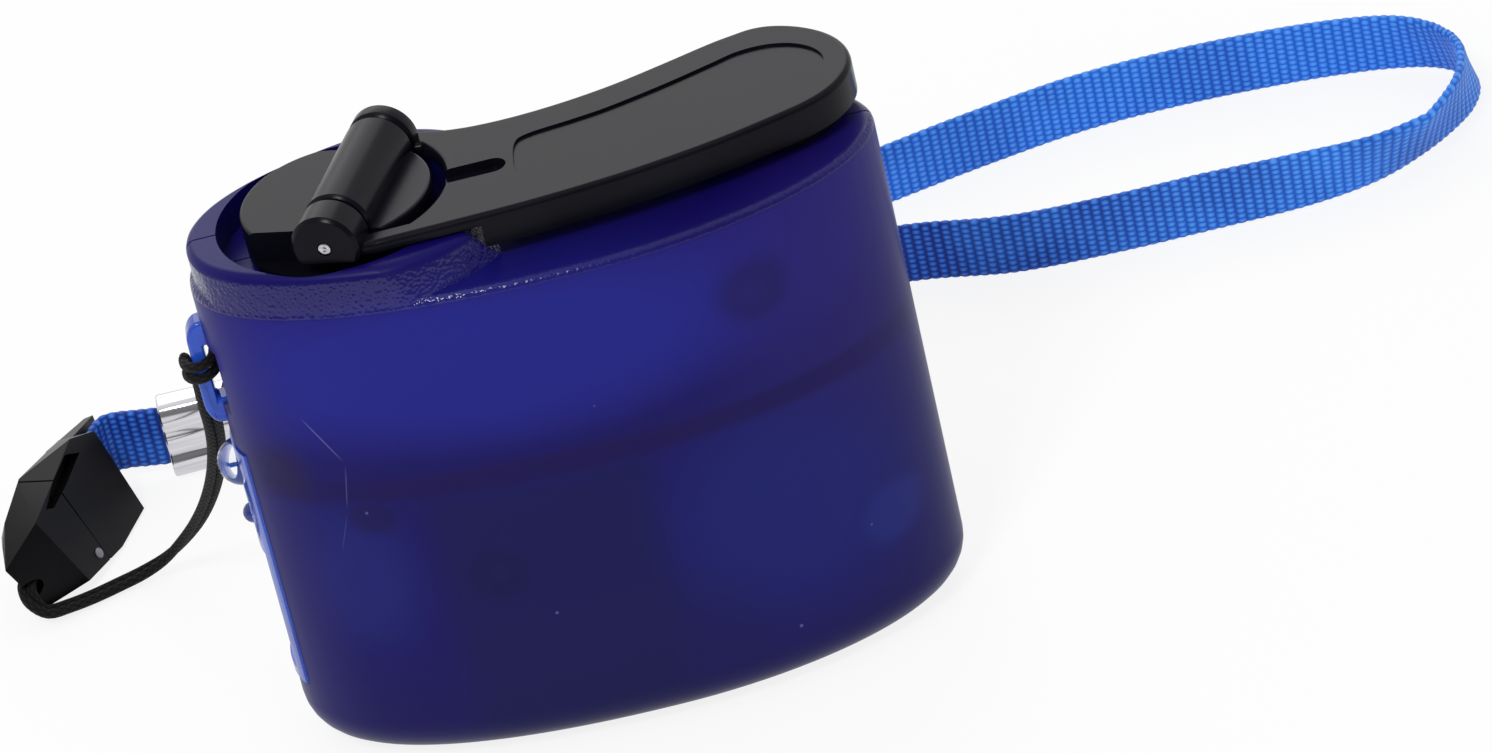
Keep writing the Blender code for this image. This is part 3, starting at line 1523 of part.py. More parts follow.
def build() -> None:
    """Build the whole generator."""
    clear_scene()
    blue = blue_plastic()
    pale = light_blue_plastic()
    black = black_plastic()
    white = white_plastic()
    clear = clear_plastic()
    steel = bright_steel()
    bearing = brass()
    casing_halves(blue)
    case_screws(steel)
    crank_hub(black)
    crank_arm(black)
    hinge_pin(steel)
    knob_parts(black, steel)
    gear_train(white, bearing, steel)
    gear_plates(black, steel)
    shaft_parts(steel, bearing)
    generator(steel, copper(), dark_magnet())
    circuit_parts(green_board(), black, steel)
    port_side(pale, steel, white, clear)
    lanyard_lug(pale)
    lanyard_cord(black_cord())
    webbing(blue_webbing())
    ferrule(steel)
    buckle(black)
    place_origins()


build()
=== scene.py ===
"""Looks of the hand crank generator: fine meshes, finishes, light and camera.

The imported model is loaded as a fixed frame. Every piece is in metres, +Z up, with
the origin in the middle of the casing's bottom face and the crank near the -X end.
"""

import json
import logging
import math
from dataclasses import dataclass, field
from enum import Enum

import bmesh
import bpy
from mathutils import Matrix, Vector

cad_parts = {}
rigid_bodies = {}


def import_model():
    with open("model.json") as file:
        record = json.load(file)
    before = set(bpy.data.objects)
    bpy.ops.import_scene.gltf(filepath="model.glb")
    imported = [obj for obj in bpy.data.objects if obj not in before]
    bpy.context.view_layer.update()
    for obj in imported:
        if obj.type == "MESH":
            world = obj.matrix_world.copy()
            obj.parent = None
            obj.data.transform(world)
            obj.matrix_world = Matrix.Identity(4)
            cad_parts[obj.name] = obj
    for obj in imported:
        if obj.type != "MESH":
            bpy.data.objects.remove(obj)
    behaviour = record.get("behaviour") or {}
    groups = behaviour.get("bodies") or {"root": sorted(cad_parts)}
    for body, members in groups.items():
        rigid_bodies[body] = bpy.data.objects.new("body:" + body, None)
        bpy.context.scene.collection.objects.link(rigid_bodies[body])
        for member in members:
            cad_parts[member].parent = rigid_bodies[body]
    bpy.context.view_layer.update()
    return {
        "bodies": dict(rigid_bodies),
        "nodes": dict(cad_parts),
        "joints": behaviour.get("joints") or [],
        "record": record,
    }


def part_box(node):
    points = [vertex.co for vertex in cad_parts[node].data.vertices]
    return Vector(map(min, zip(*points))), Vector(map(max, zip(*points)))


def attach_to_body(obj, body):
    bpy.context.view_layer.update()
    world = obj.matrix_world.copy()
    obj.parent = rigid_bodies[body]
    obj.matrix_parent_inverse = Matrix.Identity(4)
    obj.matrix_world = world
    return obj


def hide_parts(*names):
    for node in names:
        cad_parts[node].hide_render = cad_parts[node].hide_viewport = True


LOG = logging.getLogger("generator")
MM = 0.001


class Operation(Enum):
    """How one solid acts on another."""

    ADD = "UNION"
    REMOVE = "DIFFERENCE"
    KEEP = "INTERSECT"


class Body(Enum):
    """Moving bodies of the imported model."""

    CASING = "casing"
    CRANK = "crank"
    ARM = "arm"
    KNOB = "knob"


# ---------------------------------------------------------------- colour and nodes


def linear(code: str) -> tuple[float, float, float, float]:
    """Turn an sRGB hex colour into linear light.

    Args:
        code: Colour as six hex digits.

    Returns:
        Red, green, blue and alpha.
    """
    parts = [int(code[index:index + 2], 16) / 255.0 for index in (0, 2, 4)]
    made = [part / 12.92 if part <= 0.04045 else ((part + 0.055) / 1.055) ** 2.4 for part in parts]
    return (made[0], made[1], made[2], 1.0)


def per_mm(size: float) -> float:
    """Pattern scale whose period is a size in millimetres."""
    return 1.0 / (size * MM)


def add_node(
    tree: bpy.types.NodeTree, kind: str, settings: dict | None = None, links: dict | None = None,
) -> bpy.types.Node:
    """Add a node with its settings and its incoming links.

    Args:
        tree: Node tree that takes the node.
        kind: Blender's type name of the node.
        settings: Values of sockets, by name or index, and of plain properties.
        links: Incoming links: socket name or index to a pair of node and output.

    Returns:
        The new node.
    """
    made = tree.nodes.new(kind)
    for key, value in (settings or {}).items():
        if isinstance(key, str) and hasattr(made, key) and key not in made.inputs:
            setattr(made, key, value)
        else:
            made.inputs[key].default_value = value
    for key, (source, output) in (links or {}).items():
        tree.links.new(source.outputs[output], made.inputs[key])
    return made


def ramp(tree: bpy.types.NodeTree, source: tuple, stops: list[tuple[float, str]]) -> bpy.types.Node:
    """Colour ramp over a value.

    Args:
        tree: Node tree that takes the node.
        source: Pair of node and output that drives the ramp.
        stops: Pairs of position and hex colour.

    Returns:
        The colour ramp node.
    """
    made = add_node(tree, "ShaderNodeValToRGB", links={"Fac": source})
    elements = made.color_ramp.elements
    while len(elements) < len(stops):
        elements.new(0.5)
    for element, (position, code) in zip(elements, stops):
        element.position = position
        element.color = linear(code)
    return made


# ---------------------------------------------------------------- finishes


@dataclass(frozen=True)
class Finish:
    """A finish that makes one procedural material."""

    name: str

    def material(self) -> bpy.types.Material:
        """Make the material, or find it where it is made already.

        Returns:
            The material.
        """
        known = bpy.data.materials.get(self.name)
        if known is not None:
            return known
        made = bpy.data.materials.new(self.name)
        made.use_nodes = True
        tree = made.node_tree
        self.dress(tree, tree.nodes["Principled BSDF"])
        return made

    def dress(self, tree: bpy.types.NodeTree, shader: bpy.types.Node) -> None:
        """Fill the node tree.

        Args:
            tree: Node tree of the material.
            shader: Its Principled shader.
        """
        raise NotImplementedError


class Edge(Enum):
    """Plan of a tone."""

    ROUND = "round"
    SQUARE = "square"


@dataclass(frozen=True)
class Tone:
    """A soft tone that shows in a wall, placed in X and Z, in millimetres.

    A square tone with a depth is on the front wall alone, the others show on both.
    """

    centre: tuple[float, float]
    half: tuple[float, float]
    blur: float
    colour: str
    strength: float
    edge: Edge = Edge.ROUND
    turn: float = 0.0
    depth: float = 0.0
    front: float = -15.4

    def mask(self, tree: bpy.types.NodeTree, where: bpy.types.Node) -> bpy.types.Node:
        """Add the nodes of the tone's mask.

        Args:
            tree: Node tree that takes the nodes.
            where: Node whose first output is the position.

        Returns:
            The node whose output is the mask.
        """
        moved = add_node(
            tree, "ShaderNodeVectorMath",
            {"operation": "SUBTRACT", 1: (self.centre[0] * MM, self.front * MM, self.centre[1] * MM)},
            {0: (where, 0)},
        )
        turned_place = add_node(
            tree, "ShaderNodeVectorRotate",
            {"rotation_type": "Y_AXIS", "Angle": math.radians(self.turn)}, {"Vector": (moved, 0)},
        )
        deep = per_mm(self.depth) if self.depth > 0.0 else 0.0
        scaled = add_node(
            tree, "ShaderNodeVectorMath",
            {"operation": "MULTIPLY", 1: (per_mm(self.half[0]), deep, per_mm(self.half[1]))},
            {0: (turned_place, 0)},
        )
        if self.edge is Edge.ROUND:
            reach = add_node(tree, "ShaderNodeVectorMath", {"operation": "LENGTH"}, {0: (scaled, 0)})
        else:
            size = add_node(tree, "ShaderNodeVectorMath", {"operation": "ABSOLUTE"}, {0: (scaled, 0)})
            split = add_node(tree, "ShaderNodeSeparateXYZ", links={"Vector": (size, 0)})
            reach = add_node(
                tree, "ShaderNodeMath", {"operation": "MAXIMUM"}, {0: (split, "X"), 1: (split, "Z")},
            )
            reach = add_node(
                tree, "ShaderNodeMath", {"operation": "MAXIMUM"}, {0: (reach, 0), 1: (split, "Y")},
            )
        return add_node(
            tree, "ShaderNodeMapRange",
            {"interpolation_type": "SMOOTHSTEP", "From Min": 1.0 - self.blur, "From Max": 1.0 + self.blur,
             "To Min": self.strength, "To Max": 0.0},
            {"Value": (reach, "Value")},
        )


@dataclass(frozen=True)
class TintedPolycarbonate(Finish):
    """Dark blue tinted polycarbonate, injection moulded with a fine satin skin.

    The eye sees a deep blue with soft tones of what is inside, painted into the colour
    as shade and light, a pale sheen where the wall turns away, painted in part at
    the ends, and a pebbled grain on the collar and the deck's edge. A partial clear
    coat there stands in for the polish that rubbing gives the grain.
    """

    low: str = "150f59"
    high: str = "1c166f"
    top: str = "120957"
    grain_size: float = 0.38
    cloud_size: float = 16.0
    speck_size: float = 8.0
    roughness: float = 0.36
    well_x: float = -17.7

    def colour(self, tree: bpy.types.NodeTree, where: bpy.types.Node) -> tuple:
        """Blue of the wall with its tones: painted shade and light of the parts inside, painted sheen at the
        ends and a scratch; specks and clouds.

        Args:
            tree: Node tree that takes the nodes.
            where: Texture coordinate node.

        Returns:
            Pair of node and output with the colour.
        """
        cloud = add_node(
            tree, "ShaderNodeTexNoise", {"Scale": per_mm(self.cloud_size), "Detail": 3.0, "Roughness": 0.5},
            {"Vector": (where, "Object")},
        )
        push = add_node(
            tree, "ShaderNodeVectorMath", {"operation": "SUBTRACT", 1: (0.5, 0.5, 0.5)},
            {0: (cloud, "Color")},
        )
        warped = add_node(
            tree, "ShaderNodeVectorMath", {"operation": "MULTIPLY_ADD", 1: (3.0 * MM, 3.0 * MM, 3.0 * MM)},
            {0: (push, 0), 2: (where, "Object")},
        )
        place = add_node(tree, "ShaderNodeSeparateXYZ", links={"Vector": (where, "Object")})
        rise = add_node(
            tree, "ShaderNodeMapRange", {"From Max": 55.0 * MM}, {"Value": (place, "Z")},
        )
        # painted by height: the upper wall lighter, as painted light from above, and the collar darker
        base = ramp(tree, (rise, 0), [
            (0.03, "1a1452"), (0.20, self.low), (0.62, self.low), (0.78, self.high), (0.919, self.high),
            (0.927, self.top),
        ])
        colour = (base, "Color")
        steady = add_node(
            tree, "ShaderNodeVectorMath", {"operation": "ADD", 1: (0.0, 0.0, 0.0)}, {0: (where, "Object")},
        )
        # painted shade and light of the parts inside, painted sheen at the ends, and a scratch
        for tone in WALL_PAINTED_SHADE_LIGHT_AND_SCRATCH:
            mask = tone.mask(tree, steady if tone.edge is Edge.SQUARE else warped)
            mixed = add_node(
                tree, "ShaderNodeMix", {"data_type": "RGBA", 7: linear(tone.colour)},
                {0: (mask, 0), 6: colour},
            )
            colour = (mixed, 2)
        specks = add_node(
            tree, "ShaderNodeTexVoronoi", {"Scale": per_mm(self.speck_size)}, {"Vector": (where, "Object")},
        )
        speck = add_node(
            tree, "ShaderNodeMapRange", {"From Min": 0.016, "From Max": 0.028, "To Min": 0.6, "To Max": 0.0},
            {"Value": (specks, "Distance")},
        )
        mixed = add_node(
            tree, "ShaderNodeMix", {"data_type": "RGBA", 7: linear("6664ad")}, {0: (speck, 0), 6: colour},
        )
        return (mixed, 2)

    def pebbled(self, tree: bpy.types.NodeTree, where: bpy.types.Node) -> bpy.types.Node:
        """Mask of the pebbled skin: the collar's flank and the deck's rounded edge.

        Args:
            tree: Node tree that takes the nodes.
            where: Texture coordinate node.

        Returns:
            The node whose first output is the mask.
        """
        place = add_node(tree, "ShaderNodeSeparateXYZ", links={"Vector": (where, "Object")})
        facing = add_node(tree, "ShaderNodeSeparateXYZ", links={"Vector": (where, "Normal")})
        centred = add_node(
            tree, "ShaderNodeVectorMath", {"operation": "SUBTRACT", 1: (self.well_x * MM, 0.0, 0.0)},
            {0: (where, "Object")},
        )
        flat = add_node(
            tree, "ShaderNodeVectorMath", {"operation": "MULTIPLY", 1: (1.0, 1.0, 0.0)}, {0: (centred, 0)},
        )
        radius = add_node(tree, "ShaderNodeVectorMath", {"operation": "LENGTH"}, {0: (flat, 0)})
        mask = None
        for low, high, first, last, source in (
            (50.82 * MM, 50.92 * MM, 0.0, 1.0, (place, "Z")),
            (54.25 * MM, 54.50 * MM, 1.0, 0.0, (place, "Z")),
            (0.93, 0.97, 1.0, 0.0, (facing, "Z")),
            (11.95 * MM, 12.05 * MM, 0.0, 1.0, (radius, "Value")),
            (-9.0 * MM, -2.0 * MM, 1.0, 0.55, (place, "X")),
        ):
            part = add_node(
                tree, "ShaderNodeMapRange",
                {"From Min": low, "From Max": high, "To Min": first, "To Max": last},
                {"Value": source},
            )
            if mask is None:
                mask = part
            else:
                mask = add_node(
                    tree, "ShaderNodeMath", {"operation": "MULTIPLY"}, {0: (mask, 0), 1: (part, 0)},
                )
        return mask

    def dress(self, tree: bpy.types.NodeTree, shader: bpy.types.Node) -> None:
        """Clouded blue with painted shade and light of the shapes behind the wall, and the collar's grain.

        Args:
            tree: Node tree of the material.
            shader: Its Principled shader.
        """
        where = add_node(tree, "ShaderNodeTexCoord")
        colour = self.colour(tree, where)
        tree.links.new(colour[0].outputs[colour[1]], shader.inputs["Base Color"])
        grain_mask = self.pebbled(tree, where)
        pebbles = add_node(
            tree, "ShaderNodeTexVoronoi",
            {"feature": "SMOOTH_F1", "Scale": per_mm(self.grain_size), "Smoothness": 0.6},
            {"Vector": (where, "Object")},
        )
        skin = add_node(
            tree, "ShaderNodeTexNoise", {"Scale": per_mm(1.2), "Detail": 3.0}, {"Vector": (where, "Object")},
        )
        height = add_node(
            tree, "ShaderNodeMath", {"operation": "MULTIPLY"},
            {0: (pebbles, "Distance"), 1: (grain_mask, 0)},
        )
        soft = add_node(tree, "ShaderNodeMath", {"operation": "MULTIPLY", 1: 0.06}, {0: (skin, "Fac")})
        total = add_node(tree, "ShaderNodeMath", {"operation": "ADD"}, {0: (height, 0), 1: (soft, 0)})
        bump = add_node(
            tree, "ShaderNodeBump", {"Strength": 0.8, "Distance": 0.11 * MM}, {"Height": (total, 0)},
        )
        tree.links.new(bump.outputs["Normal"], shader.inputs["Normal"])
        rough = add_node(
            tree, "ShaderNodeMapRange",
            {"To Min": self.roughness, "To Max": self.roughness - 0.15}, {"Value": (grain_mask, 0)},
        )
        tree.links.new(rough.outputs[0], shader.inputs["Roughness"])
        polish = add_node(tree, "ShaderNodeMath", {"operation": "MULTIPLY", 1: 0.55}, {0: (grain_mask, 0)})
        tree.links.new(polish.outputs[0], shader.inputs["Coat Weight"])
        tree.links.new(bump.outputs["Normal"], shader.inputs["Coat Normal"])
        shader.inputs["Coat Roughness"].default_value = 0.16
        shader.inputs["IOR"].default_value = 1.50
        shader.inputs["Specular IOR Level"].default_value = 0.11


@dataclass(frozen=True)
class MouldedPlastic(Finish):
    """Injection moulded plastic with a faint spark-eroded skin.

    The eye sees one colour, slightly uneven, with a soft broad highlight.
    """

    colour: str = "101014"
    worn: str = "1a1a1f"
    roughness: float = 0.32
    skin_size: float = 0.35
    skin_depth: float = 0.015
    shine: float = 0.5
    transmission: float = 0.0

    def dress(self, tree: bpy.types.NodeTree, shader: bpy.types.Node) -> None:
        """Slightly uneven colour, fine skin and a varied gloss.

        Args:
            tree: Node tree of the material.
            shader: Its Principled shader.
        """
        where = add_node(tree, "ShaderNodeTexCoord")
        cloud = add_node(
            tree, "ShaderNodeTexNoise", {"Scale": per_mm(9.0), "Detail": 4.0}, {"Vector": (where, "Object")},
        )
        base = ramp(tree, (cloud, "Fac"), [(0.35, self.colour), (0.75, self.worn)])
        tree.links.new(base.outputs["Color"], shader.inputs["Base Color"])
        skin = add_node(
            tree, "ShaderNodeTexNoise", {"Scale": per_mm(self.skin_size), "Detail": 3.0, "Roughness": 0.55},
            {"Vector": (where, "Object")},
        )
        bump = add_node(
            tree, "ShaderNodeBump", {"Strength": 0.6, "Distance": self.skin_depth * MM},
            {"Height": (skin, "Fac")},
        )
        tree.links.new(bump.outputs["Normal"], shader.inputs["Normal"])
        gloss = add_node(
            tree, "ShaderNodeMapRange",
            {"To Min": self.roughness - 0.04, "To Max": self.roughness + 0.06}, {"Value": (cloud, "Fac")},
        )
        tree.links.new(gloss.outputs[0], shader.inputs["Roughness"])
        shader.inputs["IOR"].default_value = 1.50
        shader.inputs["Specular IOR Level"].default_value = self.shine
        shader.inputs["Transmission Weight"].default_value = self.transmission


@dataclass(frozen=True)
class PlatedMetal(Finish):
    """Turned or drawn metal, plated or polished.

    The eye sees bright reflections broken by fine drawing marks.
    """

    colour: str = "c9c9cc"
    dark: str = "a4a4aa"
    roughness: float = 0.16
    mark_size: float = 0.25
    mark_depth: float = 0.004
    stretch: float = 1.0

    def dress(self, tree: bpy.types.NodeTree, shader: bpy.types.Node) -> None:
        """Metal with faint marks and an uneven polish.

        Args:
            tree: Node tree of the material.
            shader: Its Principled shader.
        """
        where = add_node(tree, "ShaderNodeTexCoord")
        drawn = add_node(
            tree, "ShaderNodeVectorMath", {"operation": "MULTIPLY", 1: (1.0 / self.stretch, 1.0, 1.0)},
            {0: (where, "Object")},
        )
        marks = add_node(
            tree, "ShaderNodeTexNoise", {"Scale": per_mm(self.mark_size), "Detail": 4.0},
            {"Vector": (drawn, 0)},
        )
        base = ramp(tree, (marks, "Fac"), [(0.3, self.dark), (0.7, self.colour)])
        tree.links.new(base.outputs["Color"], shader.inputs["Base Color"])
        gloss = add_node(
            tree, "ShaderNodeMapRange",
            {"To Min": self.roughness - 0.05, "To Max": self.roughness + 0.08}, {"Value": (marks, "Fac")},
        )
        tree.links.new(gloss.outputs[0], shader.inputs["Roughness"])
        bump = add_node(
            tree, "ShaderNodeBump", {"Strength": 0.4, "Distance": self.mark_depth * MM},
            {"Height": (marks, "Fac")},
        )
        tree.links.new(bump.outputs["Normal"], shader.inputs["Normal"])
        shader.inputs["Metallic"].default_value = 1.0


@dataclass(frozen=True)
class ClearAcrylic(Finish):
    """Clear cast resin of a lamp, poured smooth.

    The eye sees a colourless dome with a bright rim and what is behind it.
    """

    colour: str = "ffffff"
    roughness: float = 0.03

    def dress(self, tree: bpy.types.NodeTree, shader: bpy.types.Node) -> None:
        """Clear resin with a faint cast ripple.

        Args:
            tree: Node tree of the material.
            shader: Its Principled shader.
        """
        where = add_node(tree, "ShaderNodeTexCoord")
        ripple = add_node(
            tree, "ShaderNodeTexNoise", {"Scale": per_mm(2.5), "Detail": 1.0}, {"Vector": (where, "Object")},
        )
        base = ramp(tree, (ripple, "Fac"), [(0.0, "f4f8ff"), (1.0, self.colour)])
        tree.links.new(base.outputs["Color"], shader.inputs["Base Color"])
        bump = add_node(
            tree, "ShaderNodeBump", {"Strength": 0.2, "Distance": 0.02 * MM}, {"Height": (ripple, "Fac")},
        )
        tree.links.new(bump.outputs["Normal"], shader.inputs["Normal"])
        shader.inputs["Roughness"].default_value = self.roughness
        shader.inputs["IOR"].default_value = 1.49
        shader.inputs["Transmission Weight"].default_value = 1.0


@dataclass(frozen=True)
class WovenTape(Finish):
    """Narrow polyester tape, plain woven with ribs across it.

    The eye sees close ribs across the tape, each a row of short floats, painted brighter
    on their crests as sheen and darker in the gaps as shade. The tape's own coordinates
    drive the weave: U along it and V across it, in millimetres.
    The ribs are 1.05 mm apart and the floats 0.62 mm. The run beside the casing has
    painted shade: a deeper blue where the casing keeps light off it, as the photograph
    shows it darker.
    """

    light: str = "5ca2fb"
    middle: str = "3384ec"
    dark: str = "1d60cc"
    shaded: str = "1546b0"
    rib_pitch: float = 1.05
    float_pitch: float = 0.62

    def dress(self, tree: bpy.types.NodeTree, shader: bpy.types.Node) -> None:
        """Rows of floats on ribs, with painted sheen on their crests, uneven dye, painted shade beside the
        casing and a slight sheen.

        Args:
            tree: Node tree of the material.
            shader: Its Principled shader.
        """
        where = add_node(tree, "ShaderNodeUVMap", {"uv_map": "weave"})
        split = add_node(tree, "ShaderNodeSeparateXYZ", links={"Vector": (where, "UV")})
        along = add_node(
            tree, "ShaderNodeMath", {"operation": "MULTIPLY", 1: math.pi / self.rib_pitch}, {0: (split, "X")},
        )
        rib = add_node(tree, "ShaderNodeMath", {"operation": "SINE"}, {0: (along, 0)})
        rib_size = add_node(tree, "ShaderNodeMath", {"operation": "ABSOLUTE"}, {0: (rib, 0)})
        side = add_node(tree, "ShaderNodeMath", {"operation": "SIGN"}, {0: (rib, 0)})
        shift = add_node(tree, "ShaderNodeMath", {"operation": "MULTIPLY", 1: math.pi / 4.0}, {0: (side, 0)})
        across = add_node(
            tree, "ShaderNodeMath", {"operation": "MULTIPLY", 1: math.pi / self.float_pitch},
            {0: (split, "Y")},
        )
        moved = add_node(tree, "ShaderNodeMath", {"operation": "ADD"}, {0: (across, 0), 1: (shift, 0)})
        row = add_node(tree, "ShaderNodeMath", {"operation": "SINE"}, {0: (moved, 0)})
        row_size = add_node(tree, "ShaderNodeMath", {"operation": "ABSOLUTE"}, {0: (row, 0)})
        flat_row = add_node(tree, "ShaderNodeMath", {"operation": "POWER", 1: 0.6}, {0: (row_size, 0)})
        flat_rib = add_node(tree, "ShaderNodeMath", {"operation": "POWER", 1: 0.8}, {0: (rib_size, 0)})
        high = add_node(
            tree, "ShaderNodeMath", {"operation": "MULTIPLY"}, {0: (flat_row, 0), 1: (flat_rib, 0)},
        )
        dye = add_node(
            tree, "ShaderNodeTexNoise", {"Scale": 1.0 / 14.0, "Detail": 2.0, "noise_dimensions": "2D"},
            {"Vector": (where, "UV")},
        )
        # the weave pattern is the tape's own; its lighter float crests are painted sheen and its darker gaps
        # painted shade
        base = ramp(tree, (high, 0), [(0.10, self.dark), (0.55, self.middle), (0.95, self.light)])
        # painted shade: a darker copy of the weave for the run beside the casing
        deep = ramp(tree, (high, 0), [(0.10, "0b2878"), (0.55, self.shaded), (0.95, "3a7ade")])
        spot = add_node(tree, "ShaderNodeTexCoord")
        place = add_node(tree, "ShaderNodeSeparateXYZ", links={"Vector": (spot, "Object")})
        # where the painted shade falls: the near run, fading out away from the casing
        near = add_node(
            tree, "ShaderNodeMapRange",
            {"interpolation_type": "SMOOTHSTEP", "From Min": 58.0 * MM, "From Max": 64.0 * MM,
             "To Min": 1.0, "To Max": 0.0},
            {"Value": (place, "Y")},
        )
        left = add_node(
            tree, "ShaderNodeMapRange",
            {"interpolation_type": "SMOOTHSTEP", "From Min": 38.0 * MM, "From Max": 66.0 * MM,
             "To Min": 1.0, "To Max": 0.25},
            {"Value": (place, "X")},
        )
        share = add_node(tree, "ShaderNodeMath", {"operation": "MULTIPLY"}, {0: (near, 0), 1: (left, 0)})
        uneven = add_node(
            tree, "ShaderNodeMapRange", {"From Min": 0.35, "From Max": 0.65, "To Min": -0.25, "To Max": 0.3},
            {"Value": (dye, "Fac")},
        )
        # painted shade plus uneven dye picks the darker copy
        total = add_node(
            tree, "ShaderNodeMath", {"operation": "ADD", "use_clamp": True}, {0: (share, 0), 1: (uneven, 0)},
        )
        mixed = add_node(
            tree, "ShaderNodeMix", {"data_type": "RGBA"},
            {0: (total, 0), 6: (base, "Color"), 7: (deep, "Color")},
        )
        tree.links.new(mixed.outputs[2], shader.inputs["Base Color"])
        bump = add_node(
            tree, "ShaderNodeBump", {"Strength": 0.7, "Distance": 0.07 * MM}, {"Height": (high, 0)},
        )
        tree.links.new(bump.outputs["Normal"], shader.inputs["Normal"])
        shader.inputs["Roughness"].default_value = 0.48
        shader.inputs["Specular IOR Level"].default_value = 0.2
        shader.inputs["Sheen Weight"].default_value = 0.08
        shader.inputs["Sheen Roughness"].default_value = 0.4


@dataclass(frozen=True)
class BraidedCord(Finish):
    """Thin round polyester cord, braided from fine bundles.

    The eye sees a matt black line with small slanted stitches. U runs along the
    cord in millimetres and V once round it.
    """

    light: str = "161618"
    dark: str = "030304"
    pitch: float = 1.1
    bundles: float = 6.0

    def dress(self, tree: bpy.types.NodeTree, shader: bpy.types.Node) -> None:
        """Two crossing helices of bundles.

        Args:
            tree: Node tree of the material.
            shader: Its Principled shader.
        """
        where = add_node(tree, "ShaderNodeUVMap", {"uv_map": "weave"})
        split = add_node(tree, "ShaderNodeSeparateXYZ", links={"Vector": (where, "UV")})
        round_turn = add_node(
            tree, "ShaderNodeMath", {"operation": "MULTIPLY", 1: math.pi * self.bundles}, {0: (split, "Y")},
        )
        along = add_node(
            tree, "ShaderNodeMath", {"operation": "MULTIPLY", 1: math.pi / self.pitch}, {0: (split, "X")},
        )
        waves = []
        for kind in ("ADD", "SUBTRACT"):
            phase = add_node(tree, "ShaderNodeMath", {"operation": kind}, {0: (along, 0), 1: (round_turn, 0)})
            wave = add_node(tree, "ShaderNodeMath", {"operation": "SINE"}, {0: (phase, 0)})
            waves.append(add_node(tree, "ShaderNodeMath", {"operation": "ABSOLUTE"}, {0: (wave, 0)}))
        bundle = add_node(
            tree, "ShaderNodeMath", {"operation": "MULTIPLY"}, {0: (waves[0], 0), 1: (waves[1], 0)},
        )
        base = ramp(tree, (bundle, 0), [(0.1, self.dark), (0.8, self.light)])
        tree.links.new(base.outputs["Color"], shader.inputs["Base Color"])
        bump = add_node(
            tree, "ShaderNodeBump", {"Strength": 0.8, "Distance": 0.12 * MM}, {"Height": (bundle, 0)},
        )
        tree.links.new(bump.outputs["Normal"], shader.inputs["Normal"])
        shader.inputs["Roughness"].default_value = 0.8
        shader.inputs["Specular IOR Level"].default_value = 0.2
        shader.inputs["Sheen Weight"].default_value = 0.04


WALL_PAINTED_SHADE_LIGHT_AND_SCRATCH = (
    # painted light through the wall: the light room over the gears, and the one beside the generator
    Tone((-8.0, 43.5), (27.0, 7.5), 0.45, "1f2486", 0.72),
    Tone((17.0, 20.0), (11.5, 11.0), 0.60, "1c2676", 0.50),
    Tone((-24.0, 22.0), (4.6, 7.5), 0.60, "1c2675", 0.50),
    # painted shade of the generator behind the lower wall
    Tone((-6.0, 15.0), (10.5, 15.5), 0.22, "131546", 0.62, Edge.SQUARE),
    # painted sheen: the paler ends, where the wall turns away
    Tone((28.0, 40.0), (12.0, 13.0), 0.55, "261c66", 0.55),
    Tone((-33.0, 26.0), (5.5, 30.0), 0.50, "262065", 0.55),
    # painted shade of the lower edge of the gear plate and the parts under it
    Tone((0.0, 31.6), (31.5, 1.15), 0.50, "190d4a", 0.80, Edge.SQUARE),
    Tone((-28.6, 33.2), (2.3, 2.6), 0.50, "1f1742", 0.70),
    Tone((-21.6, 28.6), (2.2, 1.7), 0.45, "190f46", 0.70),
    Tone((-2.0, 9.0), (15.0, 7.5), 0.50, "19184d", 0.45),
    # painted shade of the screw bosses, with lighter middles
    Tone((17.8, 44.1), (3.3, 3.1), 0.42, "181046", 0.55),
    Tone((17.5, 44.2), (1.4, 1.3), 0.50, "221b66", 0.35),
    Tone((-11.5, 20.8), (2.9, 2.6), 0.50, "130c3c", 0.45),
    Tone((-11.3, 21.0), (1.1, 1.0), 0.55, "1d1754", 0.30),
    Tone((26.5, 14.0), (3.0, 2.8), 0.35, "1e2a7a", 0.50),
    # a scratch in the skin, in three stretches
    Tone((-24.4, 37.6), (0.060, 2.10), 0.50, "8f8dc0", 0.30, Edge.SQUARE, 30.5, 14.0),
    Tone((-23.3, 32.2), (0.055, 1.80), 0.50, "7573aa", 0.24, Edge.SQUARE, -10.5, 14.0),
    Tone((-24.6, 27.0), (0.050, 1.70), 0.50, "615e94", 0.20, Edge.SQUARE, -18.0, 14.0),
)

BLUE_CASING = TintedPolycarbonate("tinted_polycarbonate")
PALE_BLUE = MouldedPlastic("pale_blue_polycarbonate", "2450d0", "3f74ea", 0.14, 0.6, 0.01, 0.45, 0.45)
BLACK_ABS = MouldedPlastic("black_moulded_abs", "090910", "10101a", 0.24, 0.28, 0.008, 0.10)
BLACK_BUCKLE = MouldedPlastic("black_moulded_acetal", "070709", "0e0e12", 0.34, 0.40, 0.010, 0.12)
GREY_PIN = MouldedPlastic("grey_moulded_pin", "77777c", "8c8c91", 0.35, 0.40, 0.005)
WHITE_ACETAL = MouldedPlastic("white_moulded_acetal", "dcdcd4", "ecece6", 0.45, 0.5, 0.01)
GREEN_LAMINATE = MouldedPlastic("green_board_laminate", "0c5c2c", "127038", 0.40, 0.8, 0.01)
FERRITE = MouldedPlastic("sintered_ferrite", "2a2a2c", "38383b", 0.55, 0.2, 0.02)
BRIGHT_STEEL = PlatedMetal("nickel_plated_steel")
TURNED_BRASS = PlatedMetal("turned_brass", "c9a254", "a98138", 0.24, 0.3, 0.006)
WOUND_COPPER = PlatedMetal("enamelled_copper", "b5652f", "7e3f1a", 0.30, 0.5, 0.05)
